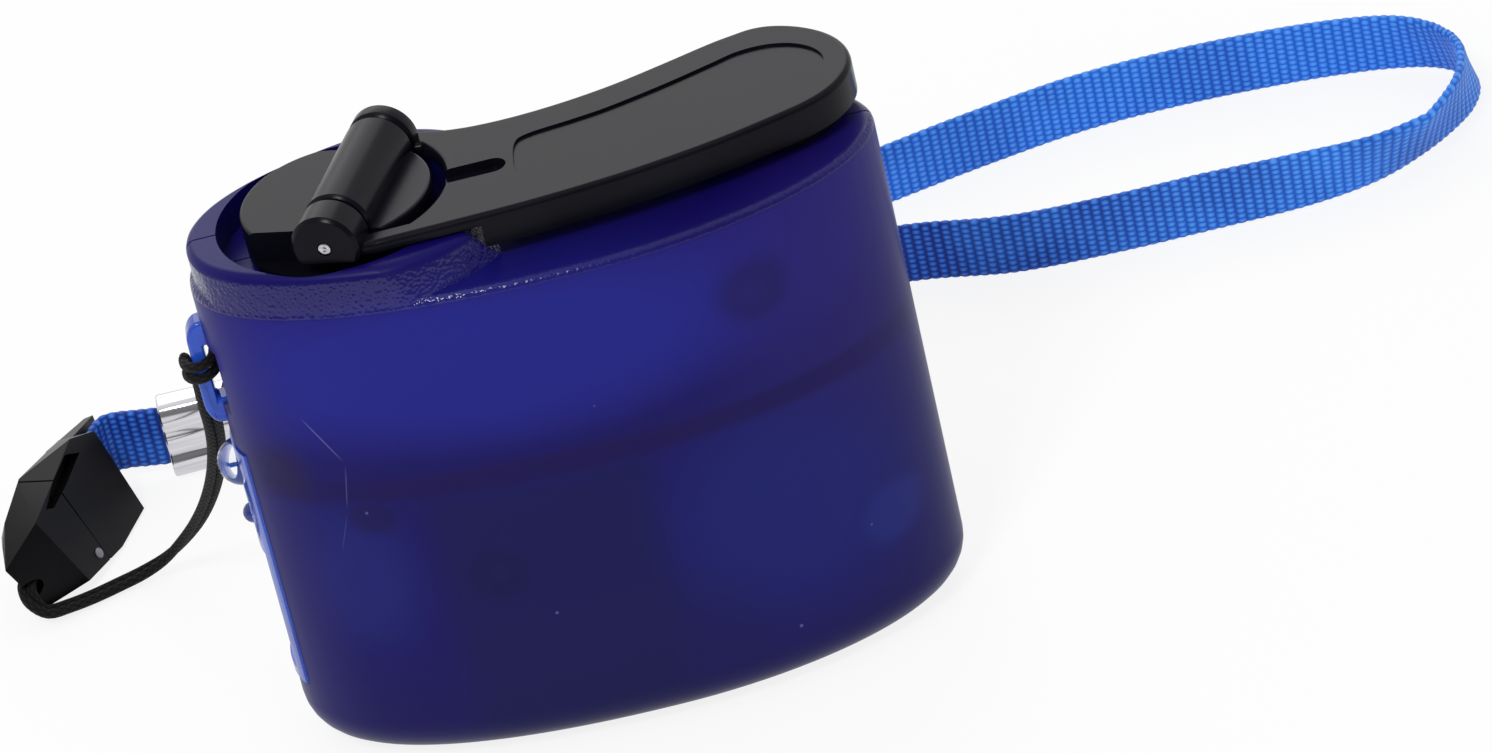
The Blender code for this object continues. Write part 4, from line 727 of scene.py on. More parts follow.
TINPLATE = PlatedMetal("rolled_tinplate", "dcdce0", "c4c4ca", 0.13, 0.5, 0.001, 30.0)
CLEAR_RESIN = ClearAcrylic("clear_cast_resin")
BLUE_TAPE = WovenTape("woven_polyester_tape")
BLACK_CORD = BraidedCord("braided_polyester_cord")


# ---------------------------------------------------------------- mesh making


def circle(x: float, y: float, z: float, radius: float, sides: int) -> list[Vector]:
    """Points of a level circle.

    Args:
        x: Place of its centre along X.
        y: Place of its centre along Y.
        z: Height.
        radius: Radius of the circle.
        sides: Number of points.

    Returns:
        The points, counter-clockwise.
    """
    step = 2.0 * math.pi / sides
    return [
        Vector((x + radius * math.cos(step * turn), y + radius * math.sin(step * turn), z))
        for turn in range(sides)
    ]


def level(outline: list[tuple[float, float]], z: float) -> list[Vector]:
    """Points of an outline at a height."""
    return [Vector((x, y, z)) for x, y in outline]


def loft(rings: list[list[Vector]], closed: bool = False) -> bmesh.types.BMesh:
    """Join rings of equal point count with quads.

    Args:
        rings: Rings in order.
        closed: Whether the last ring joins the first, for a ring-shaped solid.

    Returns:
        A mesh with capped ends, or with none where it is closed.
    """
    bm = bmesh.new()
    levels = [[bm.verts.new(point) for point in ring] for ring in rings]
    count = len(levels[0])
    pairs = list(zip(levels, levels[1:]))
    if closed:
        pairs.append((levels[-1], levels[0]))
    for lower, upper in pairs:
        for here in range(count):
            after = (here + 1) % count
            bm.faces.new((lower[here], lower[after], upper[after], upper[here]))
    if not closed:
        bm.faces.new(list(reversed(levels[0])))
        bm.faces.new(levels[-1])
    bmesh.ops.recalc_face_normals(bm, faces=bm.faces)
    if bm.calc_volume(signed=True) < 0.0:
        bmesh.ops.reverse_faces(bm, faces=bm.faces)
    return bm


def solid(name: str, bm: bmesh.types.BMesh) -> bpy.types.Object:
    """Turn a bmesh into a linked object.

    Args:
        name: Name of the object.
        bm: Mesh that is used up.

    Returns:
        The new object.
    """
    mesh = bpy.data.meshes.new(name)
    bm.to_mesh(mesh)
    bm.free()
    made = bpy.data.objects.new(name, mesh)
    bpy.context.scene.collection.objects.link(made)
    return made


def turned(
    name: str, x: float, y: float, profile: list[tuple[float, float]], sides: int, ring: bool = False,
) -> bpy.types.Object:
    """Turned solid on an upright axis.

    Args:
        name: Name of the object.
        x: Place of the axis along X.
        y: Place of the axis along Y.
        profile: Pairs of radius and height.
        sides: Points round the circle.
        ring: Whether the profile closes on itself round a bore.

    Returns:
        The new object.
    """
    return solid(name, loft([circle(x, y, z, radius, sides) for radius, z in profile], ring))


def box_solid(name: str, low: tuple, high: tuple) -> bpy.types.Object:
    """Box between two corners, for cutting and joining.

    Args:
        name: Name of the object.
        low: Lowest corner.
        high: Highest corner.

    Returns:
        The new object.
    """
    outline = [(low[0], low[1]), (high[0], low[1]), (high[0], high[1]), (low[0], high[1])]
    return solid(name, loft([level(outline, low[2]), level(outline, high[2])]))


def settle(made: bpy.types.Object) -> None:
    """Apply every modifier to the object's mesh.

    Args:
        made: Object whose modifiers are applied.
    """
    graph = bpy.context.evaluated_depsgraph_get()
    graph.update()
    mesh = bpy.data.meshes.new_from_object(made.evaluated_get(graph))
    made.modifiers.clear()
    made.data = mesh


def work(target: bpy.types.Object, tools: list[tuple[Operation, bpy.types.Object]]) -> None:
    """Let solids act on a target in order, then remove them.

    Args:
        target: Solid that is changed.
        tools: Pairs of an operation and the solid that does it.
    """
    for operation, tool in tools:
        step = target.modifiers.new(operation.name.lower(), "BOOLEAN")
        step.operation = operation.value
        step.object = tool
        step.solver = "EXACT"
    settle(target)
    for tool in {tool for _, tool in tools}:
        bpy.data.objects.remove(tool, do_unlink=True)


def soften(made: bpy.types.Object, width: float, segments: int = 2, angle: float = 38.0) -> None:
    """Round the sharp edges and smooth the shading.

    Args:
        made: Object to finish.
        width: Width of the rounding, in metres.
        segments: Steps of the rounding.
        angle: Smallest angle between faces that counts as an edge, in degrees.
    """
    mesh = made.data
    bm = bmesh.new()
    bm.from_mesh(mesh)
    bmesh.ops.remove_doubles(bm, verts=bm.verts, dist=0.002 * MM)
    bmesh.ops.dissolve_degenerate(bm, edges=bm.edges, dist=0.002 * MM)
    bm.to_mesh(mesh)
    bm.free()
    if width > 0.0:
        step = made.modifiers.new("soften", "BEVEL")
        step.width = width
        step.segments = segments
        step.limit_method = "ANGLE"
        step.angle_limit = math.radians(angle)
        step.use_clamp_overlap = True
        step.harden_normals = False
        settle(made)
    made.data.shade_smooth()
    made.data.set_sharp_from_angle(angle=math.radians(angle))
    if width > 0.0:
        shade = made.modifiers.new("shade", "WEIGHTED_NORMAL")
        shade.keep_sharp = True
        shade.weight = 80
        settle(made)


def hull(name: str, points: list[Vector]) -> bpy.types.Object:
    """Faceted solid round points.

    Args:
        name: Name of the object.
        points: Its corners.

    Returns:
        The new object.
    """
    bm = bmesh.new()
    for point in points:
        bm.verts.new(point)
    made = bmesh.ops.convex_hull(bm, input=bm.verts)
    left_over = made["geom_interior"] + made["geom_unused"]
    spare = [item for item in left_over if isinstance(item, bmesh.types.BMVert)]
    bmesh.ops.delete(bm, geom=list(set(spare)), context="VERTS")
    bmesh.ops.dissolve_limit(bm, angle_limit=math.radians(2.0), verts=bm.verts, edges=bm.edges)
    bmesh.ops.recalc_face_normals(bm, faces=bm.faces)
    return solid(name, bm)


def even_stations(line: list[Vector], values: list[tuple], step: float) -> tuple[list[Vector], list[tuple]]:
    """Read a line and its values at even distances.

    Args:
        line: Points of the line.
        values: A tuple of numbers per point.
        step: Distance between two stations.

    Returns:
        Points and their values.
    """
    travelled = [0.0]
    for here, after in zip(line, line[1:]):
        travelled.append(travelled[-1] + (after - here).length)
    count = max(2, round(travelled[-1] / step))
    points, made = [], []
    index = 0
    for station in range(count + 1):
        target = travelled[-1] * station / count
        while index < len(line) - 2 and travelled[index + 1] < target:
            index += 1
        share = (target - travelled[index]) / (travelled[index + 1] - travelled[index])
        points.append(line[index].lerp(line[index + 1], share))
        made.append(tuple(low + (high - low) * share for low, high in zip(values[index], values[index + 1])))
    return points, made


def attach(
    made: bpy.types.Object, finish: Finish, body: Body, nodes: tuple[str, ...],
) -> bpy.types.Object:
    """Give a piece its finish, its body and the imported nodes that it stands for.

    Args:
        made: New piece.
        finish: Finish of the whole piece.
        body: Body that it rides on.
        nodes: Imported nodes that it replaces.

    Returns:
        The same piece.
    """
    made.data.materials.clear()
    made.data.materials.append(finish.material())
    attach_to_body(made, body.value)
    if nodes:
        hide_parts(*nodes)
    LOG.info("%s: %d faces", made.name, len(made.data.polygons))
    return made


def dress_nodes(frame: dict, names: tuple[str, ...], finish: Finish) -> None:
    """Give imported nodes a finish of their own.

    Args:
        frame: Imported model.
        names: Names of the nodes.
        finish: Finish that they get.
    """
    for name in names:
        node = frame["nodes"][name]
        node.data.materials.clear()
        node.data.materials.append(finish.material())
        LOG.info("%s: dressed", name)


def smooth_path(points: list[Vector], steps: int, closed: bool = False) -> list[Vector]:
    """Read a smooth curve through points.

    Args:
        points: Points that the curve passes.
        steps: Steps between two points.
        closed: Whether the curve closes on itself.

    Returns:
        The points of the curve.
    """
    count = len(points)
    made = []
    for index in range(count if closed else count - 1):
        if closed:
            before, here, after, beyond = (points[(index + offset) % count] for offset in (-1, 0, 1, 2))
        else:
            here, after = points[index], points[index + 1]
            before = points[index - 1] if index else here + (here - after)
            beyond = points[index + 2] if index + 2 < count else after + (after - here)
        for step in range(steps):
            t = step / steps
            made.append(0.5 * (
                2.0 * here + (after - before) * t
                + (2.0 * before - 5.0 * here + 4.0 * after - beyond) * t ** 2
                + (3.0 * here - before - 3.0 * after + beyond) * t ** 3
            ))
    if not closed:
        made.append(points[-1].copy())
    return made


# ---------------------------------------------------------------- stage


@dataclass
class Studio:
    """Camera, floor, white surroundings and soft lamps."""

    camera_place: tuple = (3.4335 * MM, -582.231 * MM, 374.273 * MM)
    camera_aim: tuple = (0.01822, 0.85852, -0.51246)
    camera_roll: float = -13.2
    focal_length: float = 171.2
    floor_half: float = 6.0
    floor_drop: float = 0.2 * MM

    def camera(self) -> None:
        """Camera at the photograph's place, tilted as it was."""
        data = bpy.data.cameras.new("camera")
        data.sensor_width = 36.0
        data.lens = self.focal_length
        data.clip_start = 0.01
        data.clip_end = 100.0
        made = bpy.data.objects.new("camera", data)
        bpy.context.scene.collection.objects.link(made)
        made.location = self.camera_place
        made.rotation_mode = "QUATERNION"
        aim = Vector(self.camera_aim).to_track_quat("-Z", "Y")
        roll = Matrix.Rotation(math.radians(self.camera_roll), 3, "Z").to_quaternion()
        made.rotation_quaternion = aim @ roll
        bpy.context.scene.camera = made

    def surroundings(self) -> None:
        """World that lights evenly and shows white to camera, gloss and glass.

        Gloss sees the front side at about a fifth of that, as a darker room in front.
        """
        world = bpy.data.worlds.new("surroundings")
        bpy.context.scene.world = world
        world.use_nodes = True
        tree = world.node_tree
        tree.nodes.clear()
        path = add_node(tree, "ShaderNodeLightPath")
        seen = add_node(
            tree, "ShaderNodeMath", {"operation": "MAXIMUM"},
            {0: (path, "Is Camera Ray"), 1: (path, "Is Glossy Ray")},
        )
        seen = add_node(
            tree, "ShaderNodeMath", {"operation": "MAXIMUM"},
            {0: (seen, 0), 1: (path, "Is Transmission Ray")},
        )
        where = add_node(tree, "ShaderNodeTexCoord")
        behind = add_node(
            tree, "ShaderNodeVectorMath", {"operation": "DOT_PRODUCT", 1: (0.0, 0.90, 0.44)},
            {0: (where, "Generated")},
        )
        room = add_node(
            tree, "ShaderNodeMapRange",
            {"interpolation_type": "SMOOTHSTEP", "From Min": -0.35, "From Max": 0.30,
             "To Min": 0.22, "To Max": 1.0},
            {"Value": (behind, "Value")},
        )
        mirrored = add_node(
            tree, "ShaderNodeMath", {"operation": "SUBTRACT", 0: 1.0, "use_clamp": True},
            {1: (path, "Is Glossy Ray")},
        )
        brightness = add_node(
            tree, "ShaderNodeMath", {"operation": "MAXIMUM"}, {0: (room, 0), 1: (mirrored, 0)},
        )
        white = add_node(
            tree, "ShaderNodeBackground", {"Color": linear("ffffff")}, {"Strength": (brightness, 0)},
        )
        light = add_node(tree, "ShaderNodeBackground", {"Color": linear("ffffff"), "Strength": 0.66})
        mixed = add_node(
            tree, "ShaderNodeMixShader", links={0: (seen, 0), 1: (light, 0), 2: (white, 0)},
        )
        add_node(tree, "ShaderNodeOutputWorld", links={"Surface": (mixed, 0)})

    def floor(self) -> None:
        """Pale floor that stays white and keeps a faint shadow."""
        half = self.floor_half
        made = box_solid("floor", (-half, -half, -0.02), (half, half, -self.floor_drop))
        material = bpy.data.materials.new("white_table")
        material.use_nodes = True
        tree = material.node_tree
        shader = tree.nodes["Principled BSDF"]
        shader.inputs["Base Color"].default_value = linear("fafafa")
        shader.inputs["Roughness"].default_value = 0.9
        shader.inputs["Specular IOR Level"].default_value = 0.0
        path = add_node(tree, "ShaderNodeLightPath")
        seen = add_node(
            tree, "ShaderNodeMath", {"operation": "MAXIMUM"},
            {0: (path, "Is Camera Ray"), 1: (path, "Is Glossy Ray")},
        )
        seen = add_node(
            tree, "ShaderNodeMath", {"operation": "MAXIMUM"},
            {0: (seen, 0), 1: (path, "Is Transmission Ray")},
        )
        share = add_node(tree, "ShaderNodeMath", {"operation": "MULTIPLY", 1: 0.84}, {0: (seen, 0)})
        glow = add_node(tree, "ShaderNodeEmission", {"Color": linear("ffffff"), "Strength": 1.0})
        mixed = add_node(tree, "ShaderNodeMixShader", links={0: (share, 0), 1: (shader, 0), 2: (glow, 0)})
        tree.links.new(mixed.outputs[0], tree.nodes["Material Output"].inputs["Surface"])
        made.data.materials.append(material)

    def lamps(self) -> None:
        """A wide softbox behind the object and a small one above its front."""
        for name, place, width, height, power in (
            ("rear_softbox", (0.0, 0.77, 0.50), 0.70, 0.50, 1.5),
            ("front_softbox", (-0.25, -0.55, 0.75), 0.20, 0.20, 3.2),
        ):
            data = bpy.data.lights.new(name, "AREA")
            data.shape = "RECTANGLE"
            data.size = width
            data.size_y = height
            data.energy = power
            made = bpy.data.objects.new(name, data)
            bpy.context.scene.collection.objects.link(made)
            made.location = place
            made.rotation_mode = "QUATERNION"
            made.rotation_quaternion = (Vector((0.0, 0.0, 0.03)) - Vector(place)).to_track_quat("-Z", "Y")

    def build(self) -> None:
        """Make the whole stage."""
        bpy.context.scene.view_settings.view_transform = "Standard"
        self.camera()
        self.surroundings()
        self.floor()
        self.lamps()
        LOG.info("studio: done")


# ---------------------------------------------------------------- lanyard


CORD_PATH = (
    (-0.0350, 0.0026, 0.0398), (-0.0350, 0.0040, 0.0380), (-0.0346, 0.0062, 0.0344),
    (-0.0349, 0.0092, 0.0300), (-0.0355, 0.0140, 0.0247), (-0.0365, 0.0192, 0.0190),
    (-0.0382, 0.0240, 0.0134), (-0.0403, 0.0284, 0.0084), (-0.0425, 0.0320, 0.0046),
    (-0.0447, 0.0340, 0.0019), (-0.0472, 0.0344, 0.0010), (-0.0502, 0.0336, 0.0009),
    (-0.0530, 0.0322, 0.0009), (-0.0556, 0.0310, 0.0010), (-0.0576, 0.0305, 0.0016),
    (-0.0588, 0.0309, 0.0028), (-0.0591, 0.0320, 0.0037), (-0.0587, 0.0333, 0.0040),
    (-0.0575, 0.0361, 0.0040),
)
LOOP_PATH = (
    (-0.0372, 0.0526), (-0.0340, 0.0526), (-0.0300, 0.0526), (-0.0240, 0.0526), (-0.0140, 0.0534),
    (0.0000, 0.0548), (0.0140, 0.0558), (0.0260, 0.0560), (0.0365, 0.0552), (0.0467, 0.0520),
    (0.0570, 0.0510), (0.0674, 0.0508), (0.0778, 0.0508), (0.0850, 0.0520), (0.0905, 0.0548),
    (0.0950, 0.0586), (0.0980, 0.0624), (0.0993, 0.0660), (0.0988, 0.0694), (0.0966, 0.0722),
    (0.0930, 0.0742), (0.0880, 0.0757), (0.0803, 0.0770), (0.0696, 0.0778), (0.0588, 0.0775),
    (0.0480, 0.0754), (0.0372, 0.0726), (0.0240, 0.0688), (0.0100, 0.0648), (-0.0040, 0.0608),
    (-0.0160, 0.0574), (-0.0240, 0.0550), (-0.0300, 0.0542), (-0.0340, 0.0542), (-0.0372, 0.0542),
)
TAIL_PATH = (
    (-0.0380, 0.0534), (-0.0425, 0.0534), (-0.0450, 0.0539), (-0.0471, 0.0545), (-0.0485, 0.0546),
    (-0.0493, 0.0541), (-0.0498, 0.0533), (-0.0502, 0.0524), (-0.0508, 0.0510),
)
LOOP_LEANS = (
    0.0, 0.0, 0.0, 0.0, 0.0, 0.0, 0.0, 0.0, 0.0, 0.0, 0.0, 0.0, -6.0, -18.0, -27.0, -14.0, 3.0, 14.0,
    18.0, 14.0, 6.0, 2.0, 0.0, 0.0, 0.0, 0.0, 0.0, 0.0, 0.0, 0.0, 0.0, 0.0, 0.0, 0.0, 0.0,
)
# corners of the buckle in its own frame, in millimetres
BUCKLE_POINTS = (
    (-3.6, 2.8, 5.4), (-7.7, 2.8, 3.5), (-6.9, 2.8, -6.3), (0.1, 2.8, -6.8), (7.6, 2.8, -5.2),
    (9.2, 2.8, 3.6),
    (-6.8, -1.0, 4.4), (-4.2, -1.0, 4.6), (-0.2, -1.0, 5.4), (2.3, -1.0, 5.9), (4.8, -1.0, 4.8),
    (8.4, -1.0, 4.6), (11.2, -1.0, 3.2), (12.9, -1.0, 1.5), (11.4, -1.0, -4.6), (12.7, 0.0, -4.0),
    (14.2, 0.0, 2.1), (4.0, 0.0, -6.8), (-6.0, -2.8, 3.0), (-6.0, -2.8, -5.0), (8.0, -2.8, -4.5),
    (8.0, -2.8, 3.0),
)
WING_POINTS = (
    (-13.3, -1.6, 2.9), (-13.3, -0.4, 2.9), (-12.6, -1.6, 1.2), (-12.6, -0.4, 1.2),
    (-5.5, -2.2, 4.3), (-5.5, 0.6, 4.3), (-5.5, -2.2, -1.5), (-5.5, 0.6, -1.5),
)
RECESS_POINTS = ((6.5, 3.4), (3.1, 4.4), (-1.4, 4.9), (-3.6, 3.6), (1.7, 2.9), (5.3, 2.7))


@dataclass
class Lanyard:
    """Black cord, blue tape loop and tail, crimp ferrule and buckle."""

    strand_radius: float = 0.50 * MM
    strand_offset: float = 0.48 * MM
    strand_drop: float = 0.30 * MM
    cord_sides: int = 12
    wrap_steps: int = 14
    wrap_last: int = 8
    wrap_centre_x: float = -34.0 * MM
    wrap_half_x: float = 1.50 * MM
    wrap_half_y: float = 2.05 * MM
    wrap_places: tuple = (43.6 * MM, 42.3 * MM)
    tape_width: float = 6.8 * MM
    tape_thickness: float = 1.0 * MM
    tape_floor: float = 0.2 * MM
    tape_lift: float = 1.1 * MM
    lift_start_x: float = -30.0 * MM
    lift_end_x: float = -20.0 * MM
    lean_share: float = 0.1
    rib_pitch: float = 1.05 * MM
    rib_relief: float = 0.11 * MM
    station: float = 0.26 * MM
    ferrule_ends: tuple = (-43.0 * MM, -33.0 * MM)
    ferrule_y: float = 53.4 * MM
    ferrule_half: float = 2.2 * MM
    ferrule_heights: tuple = (0.2 * MM, 9.0 * MM)
    ferrule_wall: float = 0.5 * MM
    buckle_place: tuple = (-54.0 * MM, 43.4 * MM, 5.0 * MM)
    buckle_split: float = 2.8 * MM

    def strand_line(self, side: float, wrap_z: float) -> list[Vector]:
        """Centre line of one strand: half round the lug's bar, then down to the buckle.

        Args:
            side: Which side of the pair, minus or plus one.
            wrap_z: Height of its turn round the bar.

        Returns:
            Points of the line.
        """
        points = []
        for index in range(self.wrap_last + 1):
            turn = -2.0 * math.pi * index / self.wrap_steps
            points.append(Vector((
                self.wrap_centre_x + self.wrap_half_x * math.cos(turn), self.wrap_half_y * math.sin(turn),
                wrap_z - 1.2 * MM * index / self.wrap_steps,
            )))
        centre = [Vector(point) for point in CORD_PATH]
        count = len(centre)
        for _ in range(2):
            eased = [
                (centre[index - 1] + 2.0 * centre[index] + centre[index + 1]) / 4.0
                for index in range(1, count - 5)
            ]
            centre[1:count - 5] = eased
        for index, point in enumerate(centre):
            ahead = centre[min(index + 1, count - 1)] - centre[max(index - 1, 0)]
            across = Vector((-ahead.y, ahead.x, 0.0)).normalized()
            spread = min(1.0, index / 2.0) * min(1.0, (count - 1 - index) / 2.0 + 0.4)
            low = self.strand_drop * min(1.0, max(0.0, (5.0 * MM - point.z) / (3.5 * MM)))
            points.append(point + across * (side * self.strand_offset * spread) - Vector((0.0, 0.0, low)))
        return smooth_path(points, 4)

    def tube(self, name: str, line: list[Vector], radius: float) -> bpy.types.Object:
        """Round tube along a line, with weave coordinates.

        Args:
            name: Name of the object.
            line: Centre line.
            radius: Radius of the tube.

        Returns:
            The new object.
        """
        bm = bmesh.new()
        weave = bm.loops.layers.uv.new("weave")
        sides = self.cord_sides
        rings = []
        travelled = [0.0]
        for here, after in zip(line, line[1:]):
            travelled.append(travelled[-1] + (after - here).length)
        across = Vector((0.0, 0.0, 1.0))
        for index, point in enumerate(line):
            ahead = (line[min(index + 1, len(line) - 1)] - line[max(index - 1, 0)]).normalized()
            across = (across - ahead * across.dot(ahead)).normalized()
            side = ahead.cross(across)
            ring = []
            for step in range(sides):
                turn = 2.0 * math.pi * step / sides
                ring.append(bm.verts.new(point + radius * (math.cos(turn) * across + math.sin(turn) * side)))
            rings.append(ring)
        for index, (lower, upper) in enumerate(zip(rings, rings[1:])):
            for step in range(sides):
                after = (step + 1) % sides
                face = bm.faces.new((lower[step], upper[step], upper[after], lower[after]))
                face.smooth = True
                low, high = travelled[index] / MM, travelled[index + 1] / MM
                near, far = step / sides, (step + 1) / sides
                for loop, uv in zip(face.loops, ((low, near), (high, near), (high, far), (low, far))):
                    loop[weave].uv = uv
        bm.faces.new(list(rings[0]))
        bm.faces.new(list(reversed(rings[-1])))
        bmesh.ops.recalc_face_normals(bm, faces=bm.faces)
        return solid(name, bm)

    def tape(self, name: str, line: list[Vector], values: list[tuple]) -> bpy.types.Object:
        """Woven tape standing on its edge, ribbed, with scalloped selvedges.

        Args:
            name: Name of the object.
            line: Level centre line.
            values: Lift of the lower edge and lean in degrees, per point. A lean
                above zero brings the top edge to the left of the line.

        Returns:
            The new object.
        """
        bm = bmesh.new()
        weave = bm.loops.layers.uv.new("weave")
        half = self.tape_thickness / 2.0
        across = (0.0, 0.03, 0.09, 0.3, 0.5, 0.7, 0.91, 0.97, 1.0)
        rounds = (0.40, 0.85, 1.0, 0.95, 0.93, 0.95, 1.0, 0.85, 0.40)
        line, values = even_stations(line, values, self.station)
        travelled = [0.0]
        for here, after in zip(line, line[1:]):
            travelled.append(travelled[-1] + (after - here).length)
        rings = []
        for index, point in enumerate(line):
            lift, lean = values[index]
            lean = math.radians(lean)
            ahead = (line[min(index + 1, len(line) - 1)] - line[max(index - 1, 0)]).normalized()
            left = Vector((-ahead.y, ahead.x, 0.0))
            up = Vector((0.0, 0.0, math.cos(lean))) + left * math.sin(lean)
            side = left * math.cos(lean) - Vector((0.0, 0.0, math.sin(lean)))
            rib = abs(math.sin(math.pi * travelled[index] / self.rib_pitch))
            thick = half - self.rib_relief * (1.0 - rib)
            inward = 0.10 * MM * (1.0 - rib)
            base = Vector((point.x, point.y, self.tape_floor + lift + abs(math.sin(lean)) * half))
            base -= left * (math.sin(lean) * self.tape_width * self.lean_share)
            reaches = [
                inward + share * (self.tape_width - 2.0 * inward) for share in across
            ]
            places = [(base + up * reach, side * (thick * part)) for reach, part in zip(reaches, rounds)]
            near = [bm.verts.new(place - out) for place, out in places]
            far = [bm.verts.new(place + out) for place, out in places]
            rings.append(near + list(reversed(far)))
        shares = list(across) + list(reversed(across))
        count = len(shares)
        for index, (lower, upper) in enumerate(zip(rings, rings[1:])):
            for step in range(count):
                after = (step + 1) % count
                face = bm.faces.new((lower[step], upper[step], upper[after], lower[after]))
                face.smooth = True
                low, high = travelled[index] / MM, travelled[index + 1] / MM
                near, far = shares[step] * self.tape_width / MM, shares[after] * self.tape_width / MM
                for loop, uv in zip(face.loops, ((low, near), (high, near), (high, far), (low, far))):
                    loop[weave].uv = uv
        bm.faces.new(list(rings[0]))
        bm.faces.new(list(reversed(rings[-1])))
        bmesh.ops.recalc_face_normals(bm, faces=bm.faces)
        return solid(name, bm)

    def cord(self) -> None:
        """Two braided strands from the lug to the buckle's tip."""
        for name, side, wrap_z in (
            ("upper_strand", -1.0, self.wrap_places[0]), ("lower_strand", 1.0, self.wrap_places[1]),
        ):
            line = self.strand_line(side, wrap_z)
            made = self.tube(name, line, self.strand_radius)
            attach(made, BLACK_CORD, Body.CASING, ("lanyard_cord",))

    def tapes(self) -> None:
        """Wrist loop and the short tail into the buckle."""
        steps = 6
        line = smooth_path([Vector((x, y, 0.0)) for x, y in LOOP_PATH], steps)
        span = self.lift_end_x - self.lift_start_x
        values = []
        for index, point in enumerate(line):
            before = min(index // steps, len(LOOP_LEANS) - 2)
            share = index / steps - before
            lean = LOOP_LEANS[before] * (1.0 - share) + LOOP_LEANS[before + 1] * share
            lift = self.tape_lift * min(1.0, max(0.0, (self.lift_end_x - point.x) / span))
            values.append((lift, lean))
        loop = self.tape("wrist_loop", line, values)
        attach(loop, BLUE_TAPE, Body.CASING, ("webbing_loop",))
        line = smooth_path([Vector((x, y, 0.0)) for x, y in TAIL_PATH], steps)
        tail = self.tape("buckle_tail", line, [(self.tape_lift, 0.0)] * len(line))
        attach(tail, BLUE_TAPE, Body.CASING, ("webbing_tail",))

    def ferrule_section(self, x: float, inset: float) -> list[Vector]:
        """Closed section of the crimp at one place, with its two pressed grooves.

        Args:
            x: Place along the crimp.
            inset: Distance that the section is moved inwards.

        Returns:
            Points of the section.
        """
        low, high = self.ferrule_heights
        middle, reach = (low + high) / 2.0, (high - low) / 2.0 - inset
        half = self.ferrule_half - inset
        steps = 88
        points = []
        for index in range(steps):
            turn = 2.0 * math.pi * index / steps
            across, rise = math.cos(turn), math.sin(turn)
            z = middle + reach * math.copysign(abs(rise) ** 0.62, rise)
            y = half * math.copysign(abs(across) ** 0.42, across)
            for share, depth, width in ((0.36, 0.55, 0.75), (0.66, 0.40, 0.65)):
                away = (z - (low + share * (high - low))) / (width * MM)
                y -= math.copysign(depth * MM * math.exp(-away * away), across)
            points.append(Vector((x, self.ferrule_y + y, z)))
        return points

    def ferrule(self) -> None:
        """Rolled crimp, open at both ends, with rounded lips."""
        start, end = self.ferrule_ends
        lip = 0.25 * MM
        rings = [
            self.ferrule_section(start, 0.18 * MM), self.ferrule_section(start + 0.3 * lip, 0.05 * MM),
            self.ferrule_section(start + lip, 0.0), self.ferrule_section((start + end) / 2.0, 0.06 * MM),
            self.ferrule_section(end - lip, 0.0), self.ferrule_section(end - 0.3 * lip, 0.05 * MM),
            self.ferrule_section(end, 0.18 * MM), self.ferrule_section(end, self.ferrule_wall),
            self.ferrule_section(start, self.ferrule_wall),
        ]
        made = solid("crimp_ferrule", loft(rings, True))
        soften(made, 0.0, angle=50.0)
        attach(made, TINPLATE, Body.CASING, ("ferrule",))

    def buckle_frame(self) -> Matrix:
        """Frame of the buckle: X to its tip, Y out of its wide face, Z up that face.

        Returns:
            The frame.
        """
        along = Vector((-0.41, -0.91, 0.0)).normalized()
        rise = Vector((-0.33, 0.15, 0.93))
        rise = (rise - along * rise.dot(along)).normalized()
        out = rise.cross(along)
        made = Matrix((along, out, rise)).transposed().to_4x4()
        made.translation = Vector(self.buckle_place)
        return made

    def buckle_form(self, name: str) -> bpy.types.Object:
        """Whole closed buckle, resting on the table, with its wing.

        Args:
            name: Name of the object.

        Returns:
            The new object.
        """
        frame = self.buckle_frame()
        body = [Vector(point) * MM for point in BUCKLE_POINTS]
        made = hull(name, [frame @ point for point in body])
        wing = hull(f"{name}_wing", [frame @ (Vector(point) * MM) for point in WING_POINTS])
        work(made, [(Operation.ADD, wing)])
        for vertex in made.data.vertices:
            vertex.co.z = max(vertex.co.z, self.tape_floor)
        return made

    def buckle(self) -> None:
        """Shell and tip of the buckle, with the recess, the pip and the cord hole."""
        frame = self.buckle_frame()
        far = 40.0 * MM
        gap = 0.10 * MM
        for name, start, end, node in (
            ("buckle_shell", -far, self.buckle_split - gap, "buckle_body"),
            ("buckle_tip", self.buckle_split + gap, far, "buckle_insert"),
        ):
            made = self.buckle_form(name)
            keep = box_solid(f"{name}_keep", (start, -far, -far), (end, far, far))
            keep.data.transform(frame)
            tools = [(Operation.KEEP, keep)]
            recess = solid(f"{name}_recess", loft([
                [Vector((x * MM, depth * MM, z * MM)) for x, z in RECESS_POINTS] for depth in (1.3, 6.0)
            ]))
            recess.data.transform(frame)
            tools.append((Operation.REMOVE, recess))
            if node == "buckle_insert":
                hole = turned(f"{name}_hole", 0.0, 0.0, [(1.0 * MM, 9.5 * MM), (1.0 * MM, 20.0 * MM)], 32)
                lay = Matrix.Translation((0.0, 0.0, -1.5 * MM)) @ Matrix.Rotation(math.radians(90.0), 4, "Y")
                hole.data.transform(frame @ lay)
                tools.append((Operation.REMOVE, hole))
            work(made, tools)
            soften(made, 0.30 * MM, 3, 24.0)
            attach(made, BLACK_BUCKLE, Body.CASING, (node,))
        pip = turned("buckle_pip", 0.0, 0.0, [
            (0.55 * MM, 2.2 * MM), (0.55 * MM, 3.0 * MM), (0.45 * MM, 3.1 * MM), (0.20 * MM, 3.16 * MM),
        ], 28)
        stand = Matrix.Translation((3.8 * MM, 0.0, -4.4 * MM)) @ Matrix.Rotation(math.radians(-90.0), 4, "X")
        pip.data.transform(frame @ stand)
        soften(pip, 0.0)
